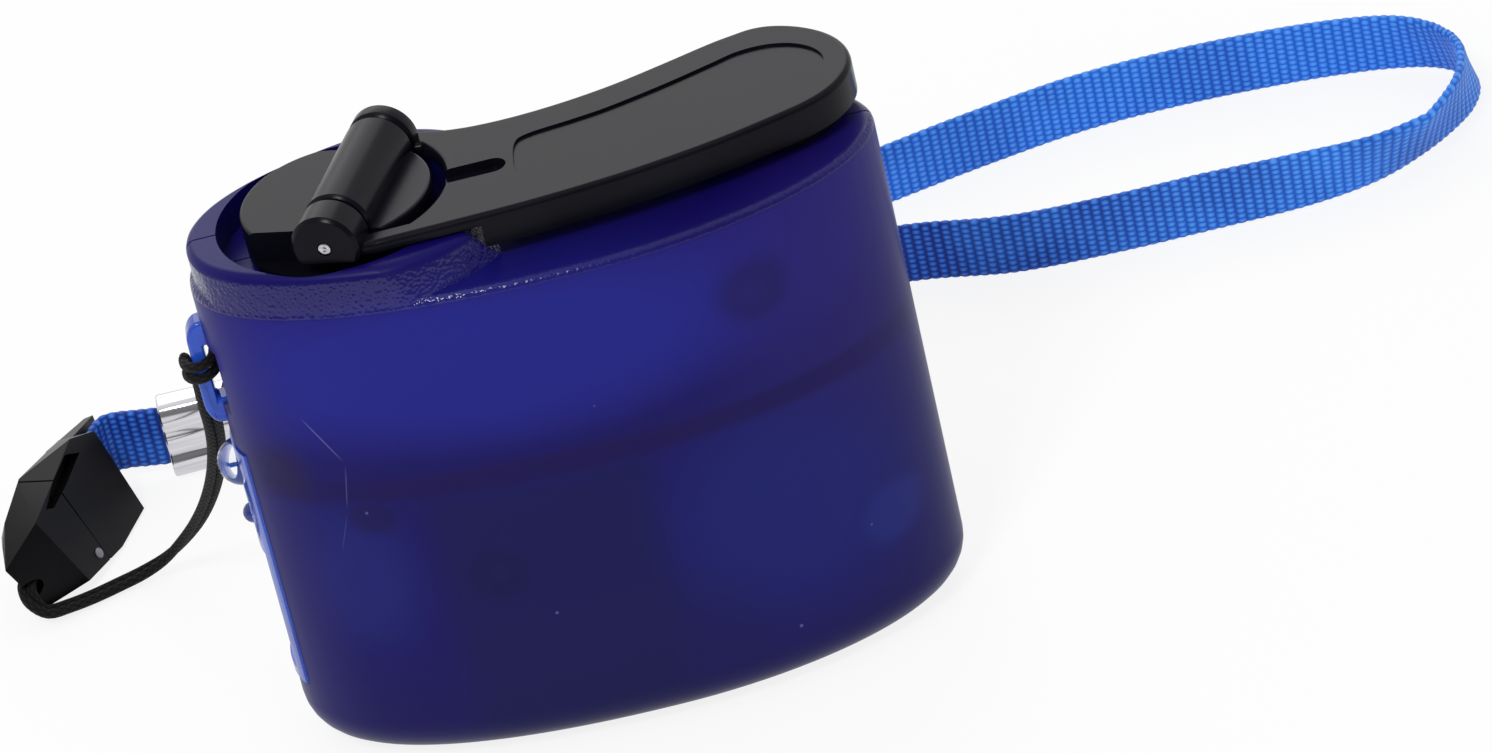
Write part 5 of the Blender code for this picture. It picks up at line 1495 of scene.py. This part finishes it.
        attach(pip, GREY_PIN, Body.CASING, ())

    def build(self) -> None:
        """Make the whole lanyard."""
        self.ferrule()
        self.buckle()
        self.cord()
        self.tapes()


# ---------------------------------------------------------------- casing


@dataclass
class Casing:
    """Two moulded shells with the collar, the well and the openings."""

    widest_x: float = 2.6 * MM
    power_left: float = 2.24
    power_right: float = 1.93
    points: int = 200
    bottom_round: float = 5.0 * MM
    wall_top: float = 50.8 * MM
    deck: float = 51.6 * MM
    deck_round: float = 0.9 * MM
    wall: float = 1.8 * MM
    split_y: float = 0.5 * MM
    split_gap: float = 0.20 * MM
    over: float = 4.0 * MM
    gap: float = 0.3 * MM
    collar_shift: float = 3.2 * MM
    collar_tail: float = 18.0 * MM
    collar_profile: tuple = (
        (14.2, 50.2), (14.2, 51.6), (13.40, 54.35), (13.22, 54.72), (12.95, 54.98), (12.60, 55.14),
        (12.1, 55.2),
    )
    taper_profile: tuple = (
        (0.12, 46.8), (0.12, 50.8), (0.48, 54.35), (0.66, 54.75), (0.95, 55.02), (1.35, 55.2), (1.35, 59.2),
    )
    collar_end_top: float = 10.9 * MM
    collar_end_foot: float = 13.8 * MM
    panel_top: float = 34.0 * MM
    panel_proud: float = 0.2 * MM
    well_radius: float = 11.8 * MM
    well_floor: float = 52.0 * MM
    left: float = field(init=False)
    right: float = field(init=False)
    half_depth: float = field(init=False)
    rim: float = field(init=False)
    hub_x: float = field(init=False)

    def __post_init__(self) -> None:
        """Take the sizes that the frame gives."""
        front_low, front_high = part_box("casing_front")
        _, rear_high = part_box("casing_rear")
        self.left, self.right = front_low.x, front_high.x
        self.half_depth = rear_high.y
        self.rim = rear_high.z
        low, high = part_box("crank_gear")
        self.hub_x = (low.x + high.x) / 2.0

    def outline(self, inset: float, count: int = 0, phase: float = 0.0) -> list[tuple[float, float]]:
        """Plan outline of the casing.

        Args:
            inset: Distance that it is moved inwards.
            count: Number of points, or zero for the casing's own.
            phase: Shift of the points along the outline, in steps.

        Returns:
            Pairs of X and Y.
        """
        count = count or self.points
        made = []
        for index in range(count):
            turn = 2.0 * math.pi * (index + phase) / count
            across, along = math.sin(turn), math.cos(turn)
            power = self.power_left if along < 0.0 else self.power_right
            reach = (self.widest_x - self.left if along < 0.0 else self.right - self.widest_x) - inset
            half = self.half_depth - inset
            x = self.widest_x + reach * math.copysign(abs(along) ** (2.0 / power), along)
            made.append((x, half * math.copysign(abs(across) ** (2.0 / power), across)))
        return made

    def form(self, name: str) -> bpy.types.Object:
        """Outer solid without the collar.

        Args:
            name: Name of the object.

        Returns:
            The new object.
        """
        rings = []
        steps = 8
        for step in range(steps + 1):
            turn = 0.5 * math.pi * step / steps
            inset = self.bottom_round * (1.0 - math.sin(turn))
            rings.append(level(self.outline(inset), self.bottom_round * (1.0 - math.cos(turn))))
        rings.append(level(self.outline(0.0), self.wall_top))
        rise = self.deck - self.wall_top
        steps = 4
        for step in range(1, steps + 1):
            turn = 0.5 * math.pi * step / steps
            inset = self.deck_round * (1.0 - math.cos(turn))
            rings.append(level(self.outline(inset), self.wall_top + rise * math.sin(turn)))
        return solid(name, loft(rings))

    def collar_ring(self, radius: float, z: float) -> list[Vector]:
        """Plan of the collar at a height: round on the right, drawn out on the left.

        Args:
            radius: Radius of the round half.
            z: Height of the ring.

        Returns:
            Points of the ring.
        """
        steps = 200
        points = []
        for index in range(steps):
            turn = 2.0 * math.pi * index / steps
            reach = radius if math.cos(turn) > 0.0 else self.collar_tail
            points.append(Vector((
                self.hub_x + self.collar_shift + reach * math.cos(turn), radius * math.sin(turn), z,
            )))
        return points

    def collar(self) -> bpy.types.Object:
        """Raised collar round the hub with a rounded rim, open towards the arm.

        Returns:
            The new object.
        """
        made = solid("collar_form", loft([
            self.collar_ring(radius * MM, z * MM) for radius, z in self.collar_profile
        ]))
        taper = solid("collar_taper", loft([
            level(self.outline(inset * MM, 230, 0.37), z * MM) for inset, z in self.taper_profile
        ]))
        lean = (self.collar_end_foot - self.collar_end_top) / (self.rim - self.deck)
        reach = 60.0 * MM
        low_z, high_z = self.wall_top - self.over, self.rim + self.over
        low_x = self.hub_x + self.collar_end_foot + lean * (self.deck - low_z)
        high_x = self.hub_x + self.collar_end_top - lean * (high_z - self.rim)
        far = low_x + reach
        end = solid("collar_end", loft([
            level([(low_x, -reach), (far, -reach), (far, reach), (low_x, reach)], low_z),
            level([(high_x, -reach), (far, -reach), (far, reach), (high_x, reach)], high_z),
        ]))
        work(made, [(Operation.KEEP, taper), (Operation.REMOVE, end)])
        return made

    def hollow(self, name: str) -> bpy.types.Object:
        """Inner space of the casing.

        Args:
            name: Name of the object.

        Returns:
            The new object.
        """
        inset = self.wall
        rings = [
            level(self.outline(inset + self.bottom_round - self.wall), self.wall),
            level(self.outline(inset), self.bottom_round),
            level(self.outline(inset), self.deck - self.wall),
        ]
        return solid(name, loft(rings))

    def openings(self, side: str) -> list[tuple[Operation, bpy.types.Object]]:
        """Cutters for the well and every opening at the socket's end.

        Args:
            side: Name of the shell, for the cutters' names.

        Returns:
            Pairs of operation and solid.
        """
        made = []
        floor, top = self.well_floor, self.rim + self.over
        well = [(self.well_radius, floor), (self.well_radius, top)]
        made.append(turned(f"{side}_well", self.hub_x, 0.0, well, 160))
        panel_low, panel_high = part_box("port_panel")
        made.append(box_solid(
            f"{side}_panel_opening", (self.left - 20.0 * MM, panel_low.y - 0.1 * MM, panel_low.z - 0.1 * MM),
            (panel_high.x, panel_high.y + 0.1 * MM, self.panel_top + 0.1 * MM),
        ))
        lamp_low, lamp_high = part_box("flashlight_led")
        radius = 2.5 * MM + self.gap
        profile = [(radius, -self.left - 3.2 * MM), (radius, -self.left + 20.0 * MM)]
        made.append(self.lying(f"{side}_lamp_bore", (lamp_low.z + lamp_high.z) / 2.0, profile, 48))
        lug_low, lug_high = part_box("lanyard_lug")
        made.append(box_solid(
            f"{side}_lug_opening", (self.left - 20.0 * MM, lug_low.y - 0.1 * MM, lug_low.z - 0.1 * MM),
            (self.left + 3.2 * MM, lug_high.y + 0.1 * MM, lug_high.z + 0.1 * MM),
        ))
        made.append(box_solid(
            f"{side}_cord_pocket", (self.left - 20.0 * MM, -3.9 * MM, 38.4 * MM),
            (self.left + 2.1 * MM, 3.9 * MM, 45.2 * MM),
        ))
        if side == "rear":
            for index in (1, 2, 3):
                low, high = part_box(f"case_screw_{index}")
                head = (high.x - low.x) / 2.0 + self.gap
                profile = [(head, high.y - 1.3 * MM), (head, 20.0 * MM)]
                hole = turned(f"rear_screw_hole_{index}", 0.0, 0.0, profile, 40)
                place = Matrix.Translation(((low.x + high.x) / 2.0, 0.0, (low.z + high.z) / 2.0))
                hole.data.transform(place @ Matrix.Rotation(math.radians(-90.0), 4, "X"))
                made.append(hole)
        return [(Operation.REMOVE, tool) for tool in made]

    def lying(self, name: str, z: float, profile: list[tuple[float, float]], sides: int) -> bpy.types.Object:
        """Turned solid that points out of the socket's end.

        Args:
            name: Name of the object.
            z: Height of its axis.
            profile: Pairs of radius and distance along -X.
            sides: Points round the circle.

        Returns:
            The new object.
        """
        made = turned(name, 0.0, 0.0, profile, sides)
        made.data.transform(Matrix.Translation((0.0, 0.0, z)) @ Matrix.Rotation(math.radians(-90.0), 4, "Y"))
        return made

    def panel(self) -> None:
        """Thin end plate that follows the nose, with its socket and lamp holes."""
        low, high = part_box("port_panel")
        outer, inner = self.outline(-self.panel_proud, 320), self.outline(1.0 * MM, 320)
        over = self.over
        made = solid("end_plate", loft([level(outer, low.z), level(outer, self.panel_top)]))
        keep = box_solid(
            "plate_keep", (self.left - over, low.y, low.z - over), (high.x, high.y, self.panel_top + over),
        )
        core = solid("plate_core", loft([level(inner, low.z - over), level(inner, self.panel_top + over)]))
        socket_low, socket_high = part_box("usb_socket")
        socket = box_solid(
            "plate_socket", (self.left - over, socket_low.y - 0.1 * MM, socket_low.z - 0.1 * MM),
            (high.x + over, socket_high.y + 0.1 * MM, socket_high.z + 0.1 * MM),
        )
        tools = [(Operation.KEEP, keep), (Operation.REMOVE, core), (Operation.REMOVE, socket)]
        for node, radius in (("flashlight_led", 2.55 * MM), ("indicator_led", 1.2 * MM)):
            lamp_low, lamp_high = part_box(node)
            middle = (lamp_low.z + lamp_high.z) / 2.0
            profile = [(radius, -self.left - 6.0 * MM), (radius, -self.left + 6.0 * MM)]
            tools.append((Operation.REMOVE, self.lying(f"plate_{node}", middle, profile, 48)))
        work(made, tools)
        soften(made, 0.10 * MM, 2, 35.0)
        attach(made, PALE_BLUE, Body.CASING, ("port_panel",))

    def socket(self) -> None:
        """Folded steel shell of the charging socket, its mouth just inside the plate."""
        low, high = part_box("usb_socket")
        sheet, setback, back = 0.4 * MM, 0.55 * MM, 1.0 * MM
        made = box_solid("socket_shell", (low.x + setback, low.y, low.z), tuple(high))
        core = box_solid(
            "socket_core", (low.x - self.over, low.y + sheet, low.z + sheet),
            (high.x - back, high.y - sheet, high.z - sheet),
        )
        work(made, [(Operation.REMOVE, core)])
        soften(made, 0.12 * MM, 2, 40.0)
        attach(made, BRIGHT_STEEL, Body.CASING, ("usb_socket",))

    def lug(self) -> None:
        """Rounded lug with a window for the cord."""
        low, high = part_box("lanyard_lug")
        drop, reach = 2.2 * MM, 1.5 * MM
        outline = [(high.x, low.z), (low.x + reach, low.z)]
        steps = 8
        for step in range(1, steps + 1):
            turn = 0.5 * math.pi * step / steps
            outline.append((low.x + reach * (1.0 - math.sin(turn)), low.z + drop * (1.0 - math.cos(turn))))
        for step in range(steps + 1):
            turn = 0.5 * math.pi * step / steps
            outline.append((low.x + reach * (1.0 - math.cos(turn)), high.z - drop * (1.0 - math.sin(turn))))
        outline.append((high.x, high.z))
        made = solid("cord_lug", loft([
            [Vector((x, side, z)) for x, z in outline] for side in (low.y, high.y)
        ]))
        window = box_solid(
            "lug_window", (low.x + 1.4 * MM, low.y - self.over, 38.8 * MM),
            (low.x + 3.5 * MM, high.y + self.over, 44.8 * MM),
        )
        work(made, [(Operation.REMOVE, window)])
        soften(made, 0.42 * MM, 4, 35.0)
        attach(made, PALE_BLUE, Body.CASING, ("lanyard_lug",))

    def lamp(self, name: str, node: str, radius: float, flange: float) -> None:
        """Cast dome of a lamp.

        Args:
            name: Name of the piece.
            node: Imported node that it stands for.
            radius: Radius of the dome.
            flange: Depth of the flange at its back, or zero for none.
        """
        low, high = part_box(node)
        middle, tip, back = (low.z + high.z) / 2.0, -low.x, -high.x
        wide = (high.z - low.z) / 2.0
        profile = []
        if flange > 0.0:
            profile += [(wide, back), (wide, back + flange), (radius, back + flange)]
        else:
            profile += [(radius, back)]
        steps = 12
        for step in range(steps):
            turn = 0.5 * math.pi * step / steps
            profile.append((radius * math.cos(turn), tip - radius * (1.0 - math.sin(turn))))
        profile.append((0.04 * radius, tip))
        made = self.lying(name, middle, profile, 64)
        soften(made, 0.0, angle=60.0)
        attach(made, CLEAR_RESIN, Body.CASING, (node,))

    def shells(self) -> None:
        """Front and rear shells."""
        for side, name in ((-1.0, "front"), (1.0, "rear")):
            shell = self.form(f"{name}_shell")
            near = self.split_y + side * self.split_gap / 2.0
            far = -side * 60.0 * MM
            other = box_solid(
                f"{name}_other_half", (-60.0 * MM, min(near, far), -self.over),
                (60.0 * MM, max(near, far), self.rim + self.over),
            )
            tools = [
                (Operation.ADD, self.collar()), (Operation.REMOVE, self.hollow(f"{name}_hollow")),
                (Operation.REMOVE, other),
            ]
            tools += self.openings(name)
            work(shell, tools)
            soften(shell, 0.22 * MM, 2, 33.0)
            attach(shell, BLUE_CASING, Body.CASING, (f"casing_{name}",))

    def build(self, frame: dict) -> None:
        """Make the shells and the pieces at the socket's end.

        Args:
            frame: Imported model.
        """
        self.shells()
        self.panel()
        self.lug()
        self.lamp("flashlight_dome", "flashlight_led", 2.4 * MM, 1.0 * MM)
        self.lamp("indicator_dome", "indicator_led", 1.05 * MM, 0.0)
        self.socket()
        dress_nodes(frame, ("case_screw_1", "case_screw_2", "case_screw_3"), BRIGHT_STEEL)
        dress_nodes(frame, ("usb_tongue",), WHITE_ACETAL)


# ---------------------------------------------------------------- crank


ARM_FRONT_SHARES = (
    (0.060, -1.000), (0.180, -0.991), (0.272, -0.981), (0.364, -0.963), (0.456, -0.925),
    (0.548, -0.869), (0.642, -0.785), (0.734, -0.682), (0.828, -0.542),
)
ARM_END_SHARES = (
    (0.900, -0.411), (0.952, -0.234), (0.988, 0.019), (1.000, 0.290), (0.992, 0.570),
    (0.966, 0.813), (0.924, 1.019), (0.876, 1.150), (0.834, 1.187), (0.790, 1.150),
)
ARM_REAR_SHARES = (
    (0.744, 1.093), (0.648, 0.935), (0.554, 0.794), (0.460, 0.701), (0.364, 0.654),
    (0.280, 0.664), (0.220, 0.720), (0.180, 0.794),
)
PANEL_SHARES = (
    (0.338, -0.187), (0.340, -0.411), (0.356, -0.579), (0.384, -0.645), (0.458, -0.626),
    (0.532, -0.570), (0.642, -0.467), (0.736, -0.346), (0.830, -0.206), (0.888, -0.093),
    (0.926, 0.028), (0.946, 0.215), (0.948, 0.393), (0.930, 0.579), (0.894, 0.729),
    (0.846, 0.804), (0.794, 0.794), (0.742, 0.701), (0.646, 0.533), (0.534, 0.374),
    (0.458, 0.308), (0.376, 0.252), (0.348, 0.140),
)


@dataclass
class Crank:
    """Hub with its barrel, forked arm, pin, knob and rivet."""

    hub_radius: float = 9.2 * MM
    hub_bottom: float = 52.3 * MM
    hub_top: float = 56.7 * MM
    pin_offset: float = 2.2 * MM
    pin_z: float = 57.0 * MM
    pin_turn: float = -22.0
    barrel_radius: float = 3.3 * MM
    barrel: tuple = (-6.3 * MM, 7.9 * MM)
    near_knuckle: tuple = (-10.4 * MM, -6.7 * MM)
    far_knuckle: tuple = (8.2 * MM, 10.2 * MM)
    pin_radius: float = 0.65 * MM
    arm_length: float = 50.0 * MM
    arm_half_width: float = 10.7 * MM
    arm_top: float = 56.6 * MM
    arm_bottom: float = 53.2 * MM
    arm_over_rim: float = 55.5 * MM
    arm_edge: float = 0.6 * MM
    skirt_radius: float = 16.47 * MM
    fork_radius: float = 10.4 * MM
    slot: tuple = (9.5 * MM, 14.9 * MM, -1.7 * MM, 1.3 * MM)
    panel_depth: float = 0.25 * MM
    over: float = 4.0 * MM
    gap: float = 0.3 * MM
    hub_x: float = field(init=False)

    def __post_init__(self) -> None:
        """Take the crank's axis from the frame."""
        low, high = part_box("crank_gear")
        self.hub_x = (low.x + high.x) / 2.0

    def level_frame(self) -> Matrix:
        """Level frame at the hinge: X away from the hub, Y along the pin.

        Returns:
            The frame.
        """
        turn = Matrix.Rotation(math.radians(self.pin_turn), 4, "Z")
        away = Matrix.Translation((self.pin_offset, 0.0, 0.0))
        return Matrix.Translation((self.hub_x, 0.0, 0.0)) @ turn @ away

    def pin_frame(self) -> Matrix:
        """Frame with its Z axis along the pin."""
        lay = Matrix.Rotation(math.radians(-90.0), 4, "X")
        return Matrix.Translation((0.0, 0.0, self.pin_z)) @ self.level_frame() @ lay

    def on_pin(self, name: str, profile: list[tuple[float, float]], sides: int = 64) -> bpy.types.Object:
        """Turned solid on the pin's axis.

        Args:
            name: Name of the object.
            profile: Pairs of radius and distance along the pin.
            sides: Points round the circle.

        Returns:
            The new object.
        """
        made = turned(name, 0.0, 0.0, profile, sides)
        made.data.transform(self.pin_frame())
        return made

    def at_hinge(self, name: str, low: tuple, high: tuple) -> bpy.types.Object:
        """Box in the level frame at the hinge.

        Args:
            name: Name of the object.
            low: Lowest corner.
            high: Highest corner.

        Returns:
            The new object.
        """
        made = box_solid(name, low, high)
        made.data.transform(self.level_frame())
        return made

    def hub(self) -> None:
        """Hub disc with its hinge barrel."""
        edge = 0.35 * MM
        profile = [
            (self.hub_radius - edge, self.hub_bottom), (self.hub_radius, self.hub_bottom + edge),
            (self.hub_radius, self.hub_top - edge), (self.hub_radius - 0.3 * edge, self.hub_top - 0.3 * edge),
            (self.hub_radius - edge, self.hub_top),
        ]
        made = turned("hub_disc", self.hub_x, 0.0, profile, 128)
        clear = self.pin_z - self.barrel_radius - self.gap
        reach = 40.0 * MM
        bevel = 0.3 * MM
        start, end = self.barrel
        barrel = self.on_pin("hub_barrel", [
            (self.barrel_radius - bevel, start), (self.barrel_radius, start + bevel),
            (self.barrel_radius, end - bevel), (self.barrel_radius - bevel, end),
        ])
        work(made, [
            (Operation.REMOVE, self.at_hinge(
                "near_notch", (-reach, -reach, clear), (reach, start - 0.1 * MM, self.hub_top + self.over))),
            (Operation.REMOVE, self.at_hinge(
                "far_notch", (-reach, end + 0.1 * MM, clear), (reach, reach, self.hub_top + self.over))),
            (Operation.ADD, barrel),
        ])
        soften(made, 0.12 * MM, 2, 40.0)
        attach(made, BLACK_ABS, Body.CRANK, ("crank_hub",))

    def on_arm(self, along: float, across: float) -> Vector:
        """Point of the arm's plan from its shares of the arm's length and half width."""
        return Vector((self.hub_x + along * self.arm_length, across * self.arm_half_width, 0.0))

    def arm_outline(self) -> list[tuple[float, float]]:
        """Plan outline of the arm from the near knuckle round to the far one.

        Returns:
            Pairs of X and Y.
        """
        place = self.level_frame()
        tight = 0.1 * MM
        near_low, near_high, near_side, far_low, far_high, far_side = (
            place @ Vector(point) for point in (
                (0.0, self.near_knuckle[0] + tight, 0.0), (0.0, self.near_knuckle[1] - tight, 0.0),
                (self.barrel_radius, self.near_knuckle[1] - tight, 0.0),
                (0.0, self.far_knuckle[0] + tight, 0.0), (0.0, self.far_knuckle[1] - tight, 0.0),
                (self.barrel_radius, self.far_knuckle[0] + tight, 0.0),
            )
        )
        shares = ARM_FRONT_SHARES + ARM_END_SHARES + ARM_REAR_SHARES
        outer = smooth_path([self.on_arm(x, y) for x, y in shares], 5)
        radius = self.fork_radius
        start = math.atan2(near_side.y, math.sqrt(radius ** 2 - near_side.y ** 2))
        end = math.atan2(far_side.y, math.sqrt(radius ** 2 - far_side.y ** 2))
        steps = 48
        inner = [
            Vector((
                self.hub_x + radius * math.cos(end + (start - end) * step / steps),
                radius * math.sin(end + (start - end) * step / steps), 0.0,
            )) for step in range(steps + 1)
        ]
        points = [near_low] + outer + [far_high, far_low, far_side] + inner + [near_side, near_high]
        return [(point.x, point.y) for point in points]

    def inset(self, outline: list[tuple[float, float]], distance: float) -> list[tuple[float, float]]:
        """Move a counter-clockwise outline inwards.

        Args:
            outline: Pairs of X and Y.
            distance: How far it moves, in metres.

        Returns:
            The moved outline.
        """
        made = []
        count = len(outline)
        for index in range(count):
            before, here, after = (Vector(outline[(index + offset) % count]) for offset in (-1, 0, 1))
            first, second = (here - before).normalized(), (after - here).normalized()
            normal = Vector((-first.y - second.y, first.x + second.x)).normalized()
            share = max(0.5, normal.dot(Vector((-first.y, first.x))))
            moved = here + normal * (distance / share)
            made.append((moved.x, moved.y))
        return made

    def slot_outline(self) -> list[tuple[float, float]]:
        """Plan outline of the slot, round at its far end.

        Returns:
            Pairs of X and Y.
        """
        start, end, middle, half = self.slot
        steps = 16
        made = []
        for step in range(steps + 1):
            turn = -0.5 * math.pi + math.pi * step / steps
            made.append((self.hub_x + end + half * math.cos(turn), middle + half * math.sin(turn)))
        made += [(self.hub_x + start, middle + half), (self.hub_x + start, middle - half)]
        return made

    def arm(self) -> None:
        """Forked arm with its knuckles, slot, thumb panel and knob hollow."""
        outline = self.arm_outline()
        rings = [level(outline, self.arm_bottom)]
        steps = 4
        for step in range(steps + 1):
            turn = 0.5 * math.pi * step / steps
            moved = self.inset(outline, self.arm_edge * (1.0 - math.cos(turn)))
            rings.append(level(moved, self.arm_top - self.arm_edge * (1.0 - math.sin(turn))))
        made = solid("folding_arm", loft(rings))
        tools = []
        under = turned(
            "arm_under", self.hub_x, 0.0,
            [(self.skirt_radius, self.arm_bottom - self.over), (self.skirt_radius, self.arm_over_rim)], 128,
        )
        tools.append((Operation.REMOVE, under))
        bevel = 0.35 * MM
        for name, (start, end) in (("near", self.near_knuckle), ("far", self.far_knuckle)):
            knuckle = self.on_pin(f"{name}_knuckle", [
                (self.barrel_radius - bevel, start), (self.barrel_radius, start + bevel),
                (self.barrel_radius, end - bevel), (self.barrel_radius - bevel, end),
            ])
            flat = self.at_hinge(
                f"{name}_flat", (-8.0 * MM, start - self.over, self.pin_z - 12.0 * MM),
                (8.0 * MM, end + self.over, self.arm_over_rim),
            )
            work(knuckle, [(Operation.REMOVE, flat)])
            tools.append((Operation.ADD, knuckle))
        low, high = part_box("crank_knob")
        knob_x, knob_y = (low.x + high.x) / 2.0, (low.y + high.y) / 2.0
        hollow_radius = (high.x - low.x) / 2.0 + 0.4 * MM
        hollow = turned(
            "arm_hollow", knob_x, knob_y,
            [(hollow_radius, self.arm_bottom - self.over), (hollow_radius, high.z + self.gap)], 96,
        )
        tools.append((Operation.REMOVE, hollow))
        slot = self.slot_outline()
        tools.append((Operation.REMOVE, solid(
            "arm_slot", loft([level(slot, self.arm_top - 0.9 * MM), level(slot, self.arm_top + self.over)]))))
        line = smooth_path([self.on_arm(x, y) for x, y in PANEL_SHARES], 5, True)
        panel = [(point.x, point.y) for point in line]
        tools.append((Operation.REMOVE, solid("arm_panel", loft([
            level(panel, self.arm_top - self.panel_depth), level(panel, self.arm_top + self.over),
        ]))))
        bore = self.pin_radius + 0.05 * MM
        profile = [(bore, self.near_knuckle[0] - self.over), (bore, self.far_knuckle[1] + self.over)]
        tools.append((Operation.REMOVE, self.on_pin("arm_bore", profile, 32)))
        work(made, tools)
        soften(made, 0.14 * MM, 2, 36.0)
        attach(made, BLACK_ABS, Body.ARM, ("crank_arm",))

    def pin(self) -> None:
        """Hinge pin with domed ends and a small dimple."""
        start, end = self.near_knuckle[0] - 0.08 * MM, self.far_knuckle[1] + 0.08 * MM
        radius = self.pin_radius
        profile = [
            (0.12 * MM, start + 0.10 * MM), (0.25 * MM, start + 0.02 * MM), (0.42 * MM, start),
            (0.58 * MM, start + 0.06 * MM), (radius, start + 0.2 * MM), (radius, end - 0.2 * MM),
            (0.58 * MM, end - 0.06 * MM), (0.42 * MM, end), (0.25 * MM, end - 0.02 * MM),
            (0.12 * MM, end - 0.10 * MM),
        ]
        made = self.on_pin("riveted_pin", profile, 32)
        soften(made, 0.0)
        attach(made, BRIGHT_STEEL, Body.ARM, ("hinge_pin",))

    def knob(self) -> None:
        """Turning knob with rounded edges and a grip groove."""
        low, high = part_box("crank_knob")
        x, y = (low.x + high.x) / 2.0, (low.y + high.y) / 2.0
        radius = (high.x - low.x) / 2.0
        bottom, top = low.z, high.z
        sink, bore = 3.1 * MM, 1.45 * MM
        sink_z = bottom + 1.0 * MM
        profile = [(sink, bottom)]
        steps = 5
        for step in range(steps + 1):
            turn = 0.5 * math.pi * step / steps
            profile.append((
                radius - 0.8 * MM * (1.0 - math.sin(turn)), bottom + 0.8 * MM * (1.0 - math.cos(turn)),
            ))
        middle = (bottom + top) / 2.0
        profile += [(radius, middle - 0.3 * MM), (radius - 0.25 * MM, middle), (radius, middle + 0.3 * MM)]
        for step in range(steps + 1):
            turn = 0.5 * math.pi * step / steps
            profile.append((
                radius - 0.5 * MM * (1.0 - math.cos(turn)), top - 0.5 * MM * (1.0 - math.sin(turn)),
            ))
        profile += [(bore, top), (bore, sink_z), (sink, sink_z)]
        made = turned("finger_knob", x, y, profile, 96, True)
        soften(made, 0.0)
        attach(made, BLACK_ABS, Body.KNOB, ("crank_knob",))

    def build(self, frame: dict) -> None:
        """Make the whole crank.

        Args:
            frame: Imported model.
        """
        self.hub()
        self.arm()
        self.pin()
        self.knob()
        dress_nodes(frame, ("knob_rivet", "crank_shaft", "retaining_ring"), BRIGHT_STEEL)
        dress_nodes(frame, ("crank_gear",), WHITE_ACETAL)


@dataclass
class Inside:
    """Gear train, generator and electronics in the casing."""

    steel: tuple = (
        "gear_axle_1", "gear_axle_2", "spacer_post_1", "spacer_post_2", "spacer_post_3", "spacer_post_4",
        "generator_can", "generator_cap", "storage_capacitor",
    )

    def build(self, frame: dict) -> None:
        """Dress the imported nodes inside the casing.

        Args:
            frame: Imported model.
        """
        dress_nodes(frame, self.steel, BRIGHT_STEEL)
        dress_nodes(frame, ("compound_gear_1", "compound_gear_2"), WHITE_ACETAL)
        dress_nodes(frame, ("rotor_pinion", "shaft_bush"), TURNED_BRASS)
        dress_nodes(frame, ("upper_gear_plate", "lower_gear_plate"), BLACK_ABS)
        dress_nodes(frame, ("regulator_chip", "power_coil"), BLACK_ABS)
        dress_nodes(frame, ("generator_winding",), WOUND_COPPER)
        dress_nodes(frame, ("generator_rotor",), FERRITE)
        dress_nodes(frame, ("circuit_board",), GREEN_LAMINATE)


def main() -> None:
    """Build the stage and every sub-assembly."""
    logging.basicConfig(level=logging.INFO, format="%(message)s")
    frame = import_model()
    Studio().build()
    Lanyard().build()
    Casing().build(frame)
    Crank().build(frame)
    Inside().build(frame)


if __name__ == "__main__":
    main()
